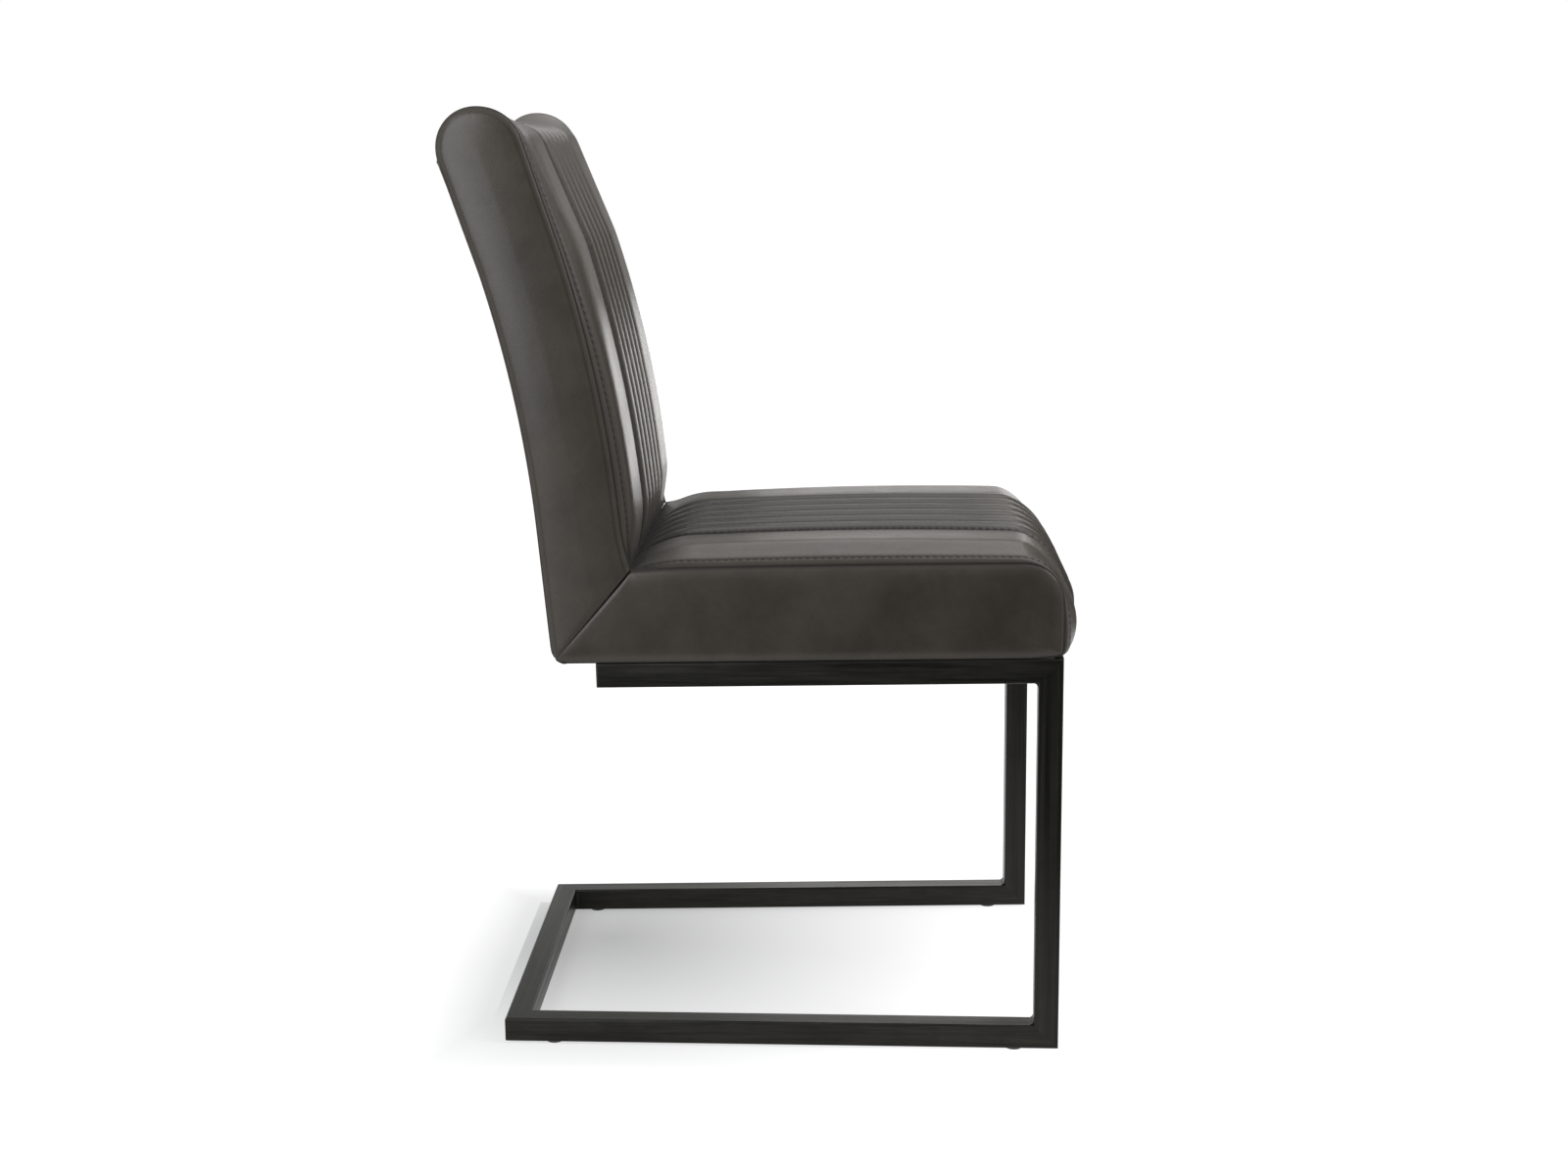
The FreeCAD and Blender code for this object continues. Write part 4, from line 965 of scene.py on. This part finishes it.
def steel_material(name, settings, lengthwise):
    """Darkened steel tube, brushed along its length, with cloudy oil-blackened patches."""
    colour = tuple(settings.steel_colour)
    rough = settings.steel_roughness
    band_scale, hair_scale = [190.0] * 3, [900.0] * 3
    band_scale[lengthwise], hair_scale[lengthwise] = 3.0, 6.0

    def build(n):
        band = n.noise(n.mapped(band_scale), 1.0, 4.0, 0.62)
        hair = n.noise(n.mapped(hair_scale), 1.0, 3.0, 0.6)
        patch = n.noise(n.mapped(), 22.0, 3.0, 0.6)
        base = n.mix(n.spread(band, 0.34, 0.7), shade(colour, 0.62), shade(colour, 1.55))
        base = n.mix(n.spread(hair, 0.45, 0.75, 0.0, 0.45), base, shade(colour, 2.3))
        return {"Base Color": n.mix(n.spread(patch, 0.45, 0.7, 0.0, 0.4), base, shade(colour, 0.6)),
                "Roughness": n.spread(band, 0.3, 0.7, rough - 0.08, rough + 0.1),
                "Normal": n.bumps(hair, 0.14, 0.0004),
                "Metallic": 0.55, "Specular IOR Level": 0.20}

    return new_material(name, build)


def coated(colour, roughness, metallic):
    """A plated or powder-coated surface with fine specks."""
    def build(n):
        speck = n.noise(n.mapped(), 300.0)
        return {"Base Color": n.mix(n.spread(speck, 0.3, 0.7), shade(colour, 0.85), shade(colour, 1.12)),
                "Roughness": n.spread(speck, 0.3, 0.7, roughness - 0.06, roughness + 0.08),
                "Metallic": metallic}
    return build


def moulded(n):
    """Black moulded plastic with a fine spark-eroded texture."""
    grain = n.noise(n.mapped(), 1200.0, 2.0)
    return {"Base Color": n.mix(grain, (0.010, 0.010, 0.011, 1.0), (0.022, 0.022, 0.023, 1.0)),
            "Normal": n.bumps(grain, 0.2, 0.0002), "Roughness": 0.52}


def plywood(n):
    """Birch plywood: flowing grain on the faces and thin dark glue lines through the thickness."""
    grain = n.noise(n.mapped((60.0, 6.0, 60.0)), 1.0, 5.0, 0.6)
    glue = n.add("TexWave", bands_direction="Z", Scale=105.0, Distortion=0.6, Vector=n.mapped()).outputs["Fac"]
    base = n.mix(grain, (0.42, 0.27, 0.14, 1.0), (0.62, 0.45, 0.27, 1.0))
    return {"Base Color": n.mix(n.spread(glue, 0.86, 1.0, 0.0, 0.5), base, (0.22, 0.13, 0.06, 1.0)),
            "Normal": n.bumps(grain, 0.15, 0.0003), "Roughness": 0.62}


def lining(n):
    """Black non-woven sheet with pressed dimples and loose fibres."""
    plain = n.mapped()
    dots = n.add("TexVoronoi", Scale=520.0, Randomness=0.15, Vector=plain).outputs["Distance"]
    fibres = n.noise(plain, 700.0)
    return {"Base Color": n.mix(fibres, (0.008, 0.008, 0.009, 1.0), (0.030, 0.030, 0.031, 1.0)),
            "Normal": n.bumps(n.plus(dots, fibres), 0.5, 0.0004), "Roughness": 0.9}


def foam(n):
    """Cut foam with open cells."""
    cells = n.add("TexVoronoi", Scale=900.0, Vector=n.mapped()).outputs["Distance"]
    return {"Base Color": n.mix(cells, (0.62, 0.55, 0.36, 1.0), (0.80, 0.74, 0.55, 1.0)), "Roughness": 0.95}


def dress(material, *nodes):
    """Gives CAD nodes one material on their own slots."""
    for name in nodes:
        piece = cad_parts[name]
        if len(piece.material_slots) == 0:
            piece.data.materials.append(material)
        for place in piece.material_slots:
            place.material = material


def finished(piece, material, *stands_for):
    """Gives a leather or thread piece its material and its body, and hides the CAD nodes it stands for."""
    piece.data.materials.append(material)
    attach(piece, "root")
    if stands_for:
        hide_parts(*stands_for)
    return piece


def upholster(piece, cover, settings, stitch_name, groove_end, edge_end, *stands_for):
    """Finishes a cushion with the leather and adds its stitching."""
    leather = bpy.data.materials.get("waxed_leather") or leather_material(settings)
    finished(piece, leather, *stands_for)
    thread = bpy.data.materials.get("bonded_thread") or thread_material(settings)
    finished(cover_stitching(stitch_name, cover, settings, groove_end, edge_end), thread)
    return leather


# Stage

def seen_directly(n):
    """1 for rays of the camera, of reflections and through glass, and 0 for the light between surfaces."""
    rays = n.add("LightPath").outputs
    return n.calc("MAXIMUM", rays["Is Camera Ray"],
                  n.calc("MAXIMUM", rays["Is Glossy Ray"], rays["Is Transmission Ray"]))


def sheet(name, corners, material):
    """A flat piece of the stage with four corners."""
    mesh = bpy.data.meshes.new(name)
    mesh.from_pydata(corners, [], [(0, 1, 2, 3)])
    mesh.materials.append(material)
    made = placed(name, mesh)
    return made


def white_floor(n):
    """White that glows less round the chair, a painted shadow, so that its lit shadow also shows.

    The glow is the greater of two. One grows from 0.28 at a point 0.10 m to the far side of the chair's
    middle and 0.20 m behind it, where the painted shadow is darkest, to 1 at 0.60 m from it. The other
    grows from 0.62 at the frame's outline to 1 at 0.11 m outside it, a painted contact shadow round the
    frame, and is 0 inside."""
    away = n.add("VectorMath", operation="LENGTH", Vector=n.mapped(move=(-0.10, -0.20, 0.0))).outputs["Value"]
    spot = n.add("SeparateXYZ", Vector=n.mapped()).outputs
    outward = n.calc("MAXIMUM", n.calc("SUBTRACT", n.calc("ABSOLUTE", spot["X"]), 0.2325),
                     n.calc("SUBTRACT", spot["Y"], 0.3125))
    rim = n.times(n.calc("GREATER_THAN", outward, -0.0105), n.spread(outward, 0.0, 0.110, 0.62, 1.0))
    glow = n.calc("MAXIMUM", n.spread(away, 0.0, 0.60, 0.28, 1.0), rim)
    return {"Base Color": (0.42, 0.42, 0.42, 1.0), "Roughness": 0.9, "Specular IOR Level": 0.0,
            "Emission Color": (1.0, 1.0, 1.0, 1.0), "Emission Strength": n.times(seen_directly(n), glow)}


def make_surroundings(ambient):
    """White all round, at full strength where it is seen directly and at ambient strength as light."""
    world = bpy.data.worlds.new("studio_world")
    bpy.context.scene.world = world
    world.use_nodes = True
    world.node_tree.nodes.clear()
    n = Nodes(world.node_tree)
    strength = n.plus(n.times(seen_directly(n), 1.0 - ambient), ambient)
    white = n.add("Background", Color=(1.0, 1.0, 1.0, 1.0), Strength=strength).outputs["Background"]
    n.add("OutputWorld", Surface=white)


def make_sheets():
    """The floor, and the dark cards that only reflections see: three upright ones and a cloth."""
    floor = new_material("studio_floor", white_floor)
    sheet("studio_floor", [(30.0 * x, 30.0 * y, 0.0) for x, y in ((-1, -1), (1, -1), (1, 1), (-1, 1))], floor)
    dark = new_material("black_card", lambda n: {"Base Color": (0.004, 0.004, 0.004, 1.0), "Roughness": 1.0,
                                                 "Specular IOR Level": 0.0})
    cards = {name: [(x, near, low), (x, far, low), (x, far, high), (x, near, high)]
             for name, x, near, far, low, high in (("far_card", 1.55, -0.55, 1.3, 0.72, 1.35),
                                                   ("front_card", 1.45, -2.6, -0.60, 0.01, 1.5),
                                                   ("camera_card", -3.3, -2.5, 1.3, 0.01, 2.4))}
    cards["floor_cloth"] = [(-3.3, -2.5, 0.003), (-3.3, 0.5, 0.003), (-0.75, 0.5, 0.003), (-0.75, -2.5, 0.003)]
    for name, corners in cards.items():
        card = sheet(name, corners, dark)
        card.visible_camera = card.visible_diffuse = card.visible_shadow = False


def make_lights(stage):
    """Softboxes turned to the middle of the chair: name, place, width, height, power and colour."""
    middle = Vector((0.0, 0.0, 0.5))
    warm = (1.0, 0.99, 0.97)
    for name, place, wide, high, watts, colour in (
            ("key_softbox", (-0.6, -2.2, 2.0), 1.4, 1.4, stage.key_power, (1.0, 0.985, 0.96)),
            ("near_softbox", (-1.75, 1.12, 1.18), 1.0, 1.6, stage.near_power, (0.93, 0.96, 1.0)),
            ("far_softbox", (1.7, -0.35, 1.7), 1.3, 1.3, stage.far_power, warm),
            ("strip_softbox", (1.5, -0.25, 0.56), 0.7, 0.36, stage.strip_power, warm),
            ("upper_strip_softbox", (1.5, -0.10, 0.93), 0.42, 0.38, 0.20 * stage.strip_power, warm),
            ("top_softbox", (0.3, -1.2, 2.5), 2.0, 1.8, stage.top_power, (1.0, 1.0, 1.0))):
        data = bpy.data.lights.new(name, "AREA")
        data.shape = "RECTANGLE"
        data.size, data.size_y = wide, high
        data.energy = watts
        data.color = colour
        light = placed(name, data)
        light.location = place
        light.rotation_mode = "QUATERNION"
        light.rotation_quaternion = (middle - Vector(place)).to_track_quat("-Z", "Y")
        light.visible_camera = False


def make_camera(lens):
    """The camera, at the place and with the yaw, pitch and roll that were fitted to the frame's corners."""
    data = bpy.data.cameras.new("camera")
    data.sensor_width = 36.0
    data.lens = lens
    data.clip_start, data.clip_end = 0.05, 200.0
    yaw, pitch, roll = 0.030, 0.198, 0.010
    forward = Vector((math.cos(pitch) * math.cos(yaw), math.cos(pitch) * math.sin(yaw), -math.sin(pitch)))
    right = Vector((math.sin(yaw), -math.cos(yaw), 0.0))
    down = forward.cross(right)
    right_turned = right * math.cos(roll) + down * math.sin(roll)
    down_turned = down * math.cos(roll) - right * math.sin(roll)
    turn = Matrix((right_turned, -down_turned, -forward)).transposed()
    camera = placed("camera", data)
    camera.matrix_world = Matrix.Translation((-2.33587, 0.21245 + DEPTH_START, 0.90730)) @ turn.to_4x4()
    bpy.context.scene.camera = camera
    bpy.context.scene.view_settings.view_transform = "Standard"


# Operators

class CHAIR_OT_seat_cushion(bpy.types.Operator):
    """Makes the seat cushion with its stitched channels, edge seams and mitre"""

    bl_idname = "chair.seat_cushion"
    bl_label = "Seat cushion"

    def execute(self, context):
        settings = context.scene.chair_upholstery
        cover = wrap_surface(seat_nodes(settings), settings, 1.0, SEAT_SAMPLES, 0.0)
        piece = closed_shell("seat_cushion", seat_surfaces(settings, cover))
        upholster(piece, cover, settings, "seat_stitching", 0.50, 0.52,
                  "seat_top_cover", "seat_side_cover_right", "seat_side_cover_left", "seat_foam")
        return {"FINISHED"}


class CHAIR_OT_back_cushion(bpy.types.Operator):
    """Makes the back cushion with its stitched channels, round top, rear panel and welt"""

    bl_idname = "chair.back_cushion"
    bl_label = "Back cushion"

    def execute(self, context):
        settings = context.scene.chair_upholstery
        cover = wrap_surface(back_nodes(settings), settings, -1.0, BACK_SAMPLES, 1.0)
        rear = rear_panel(settings, cover)
        piece = closed_shell("back_cushion", back_surfaces(settings, cover, rear))
        leather = upholster(piece, cover, settings, "back_stitching", 0.47, 0.60,
                            "back_front_cover", "back_side_cover_right", "back_side_cover_left",
                            "back_rear_cover", "back_foam")
        finished(welt_tube("back_rear_welt", *welt_path(rear[0])), leather)
        return {"FINISHED"}


class CHAIR_OT_frame_finish(bpy.types.Operator):
    """Gives the tubes, welds, plugs and glides their finishes"""

    bl_idname = "chair.frame_finish"
    bl_label = "Frame finish"

    def execute(self, context):
        metal = context.scene.chair_metal
        dress(steel_material("dark_steel_across", metal, 0),
              "rear_floor_bar", "seat_cross_bar_front", "seat_cross_bar_rear")
        dress(steel_material("dark_steel_rearward", metal, 1),
              "floor_rail_right", "floor_rail_left", "seat_rail_right", "seat_rail_left", "weld_beads")
        dress(steel_material("dark_steel_upright", metal, 2), "front_leg_right", "front_leg_left")
        dress(new_material("moulded_black", moulded), "rail_end_plugs", "floor_glides")
        return {"FINISHED"}


class CHAIR_OT_inner_finish(bpy.types.Operator):
    """Gives the boards, lining, brackets and fasteners their finishes"""

    bl_idname = "chair.inner_finish"
    bl_label = "Inner parts finish"

    def execute(self, context):
        dress(new_material("zinc_plate", coated((0.55, 0.56, 0.58), 0.34, 1.0)),
              "base_screws", "base_washers", "tee_nuts", "bracket_screws")
        dress(new_material("black_powder_coat", coated((0.020, 0.020, 0.021), 0.5, 0.0)),
              "back_bracket_right", "back_bracket_left")
        dress(new_material("birch_plywood", plywood), "seat_board", "back_board")
        dress(new_material("non_woven_black", lining), "dust_cover")
        dress(new_material("cut_foam", foam), "seat_foam", "back_foam")
        return {"FINISHED"}


class CHAIR_OT_studio(bpy.types.Operator):
    """Makes the white floor, the softboxes, the even surroundings and the camera"""

    bl_idname = "chair.studio"
    bl_label = "Studio"

    def execute(self, context):
        stage = context.scene.chair_stage
        make_sheets()
        make_surroundings(stage.ambient)
        make_lights(stage)
        make_camera(stage.lens)
        return {"FINISHED"}


class CHAIR_PT_sidebar(bpy.types.Panel):
    bl_label = "Dining Chair"
    bl_idname = "CHAIR_PT_sidebar"
    bl_space_type = "VIEW_3D"
    bl_region_type = "UI"
    bl_category = "Chair"

    def draw(self, context):
        for title, group, operators in (
                ("Upholstery", context.scene.chair_upholstery, ("chair.seat_cushion", "chair.back_cushion")),
                ("Finishes", context.scene.chair_metal, ("chair.frame_finish", "chair.inner_finish")),
                ("Studio", context.scene.chair_stage, ("chair.studio",))):
            box = self.layout.box()
            box.label(text=title)
            for name in group.bl_rna.properties.keys():
                if name not in ("rna_type", "name"):
                    box.prop(group, name)
            for name in operators:
                box.operator(name)


CLASSES = (
    CHAIR_PG_upholstery,
    CHAIR_PG_metal,
    CHAIR_PG_stage,
    CHAIR_OT_seat_cushion,
    CHAIR_OT_back_cushion,
    CHAIR_OT_frame_finish,
    CHAIR_OT_inner_finish,
    CHAIR_OT_studio,
    CHAIR_PT_sidebar,
)


def register():
    for item in CLASSES:
        bpy.utils.register_class(item)
    bpy.types.Scene.chair_upholstery = bpy.props.PointerProperty(type=CHAIR_PG_upholstery)
    bpy.types.Scene.chair_metal = bpy.props.PointerProperty(type=CHAIR_PG_metal)
    bpy.types.Scene.chair_stage = bpy.props.PointerProperty(type=CHAIR_PG_stage)


def unregister():
    del bpy.types.Scene.chair_stage
    del bpy.types.Scene.chair_metal
    del bpy.types.Scene.chair_upholstery
    for item in reversed(CLASSES):
        bpy.utils.unregister_class(item)


def main():
    register()
    bpy.ops.chair.frame_finish()
    bpy.ops.chair.inner_finish()
    bpy.ops.chair.seat_cushion()
    bpy.ops.chair.back_cushion()
    bpy.ops.chair.studio()


if __name__ == "__main__":
    main()
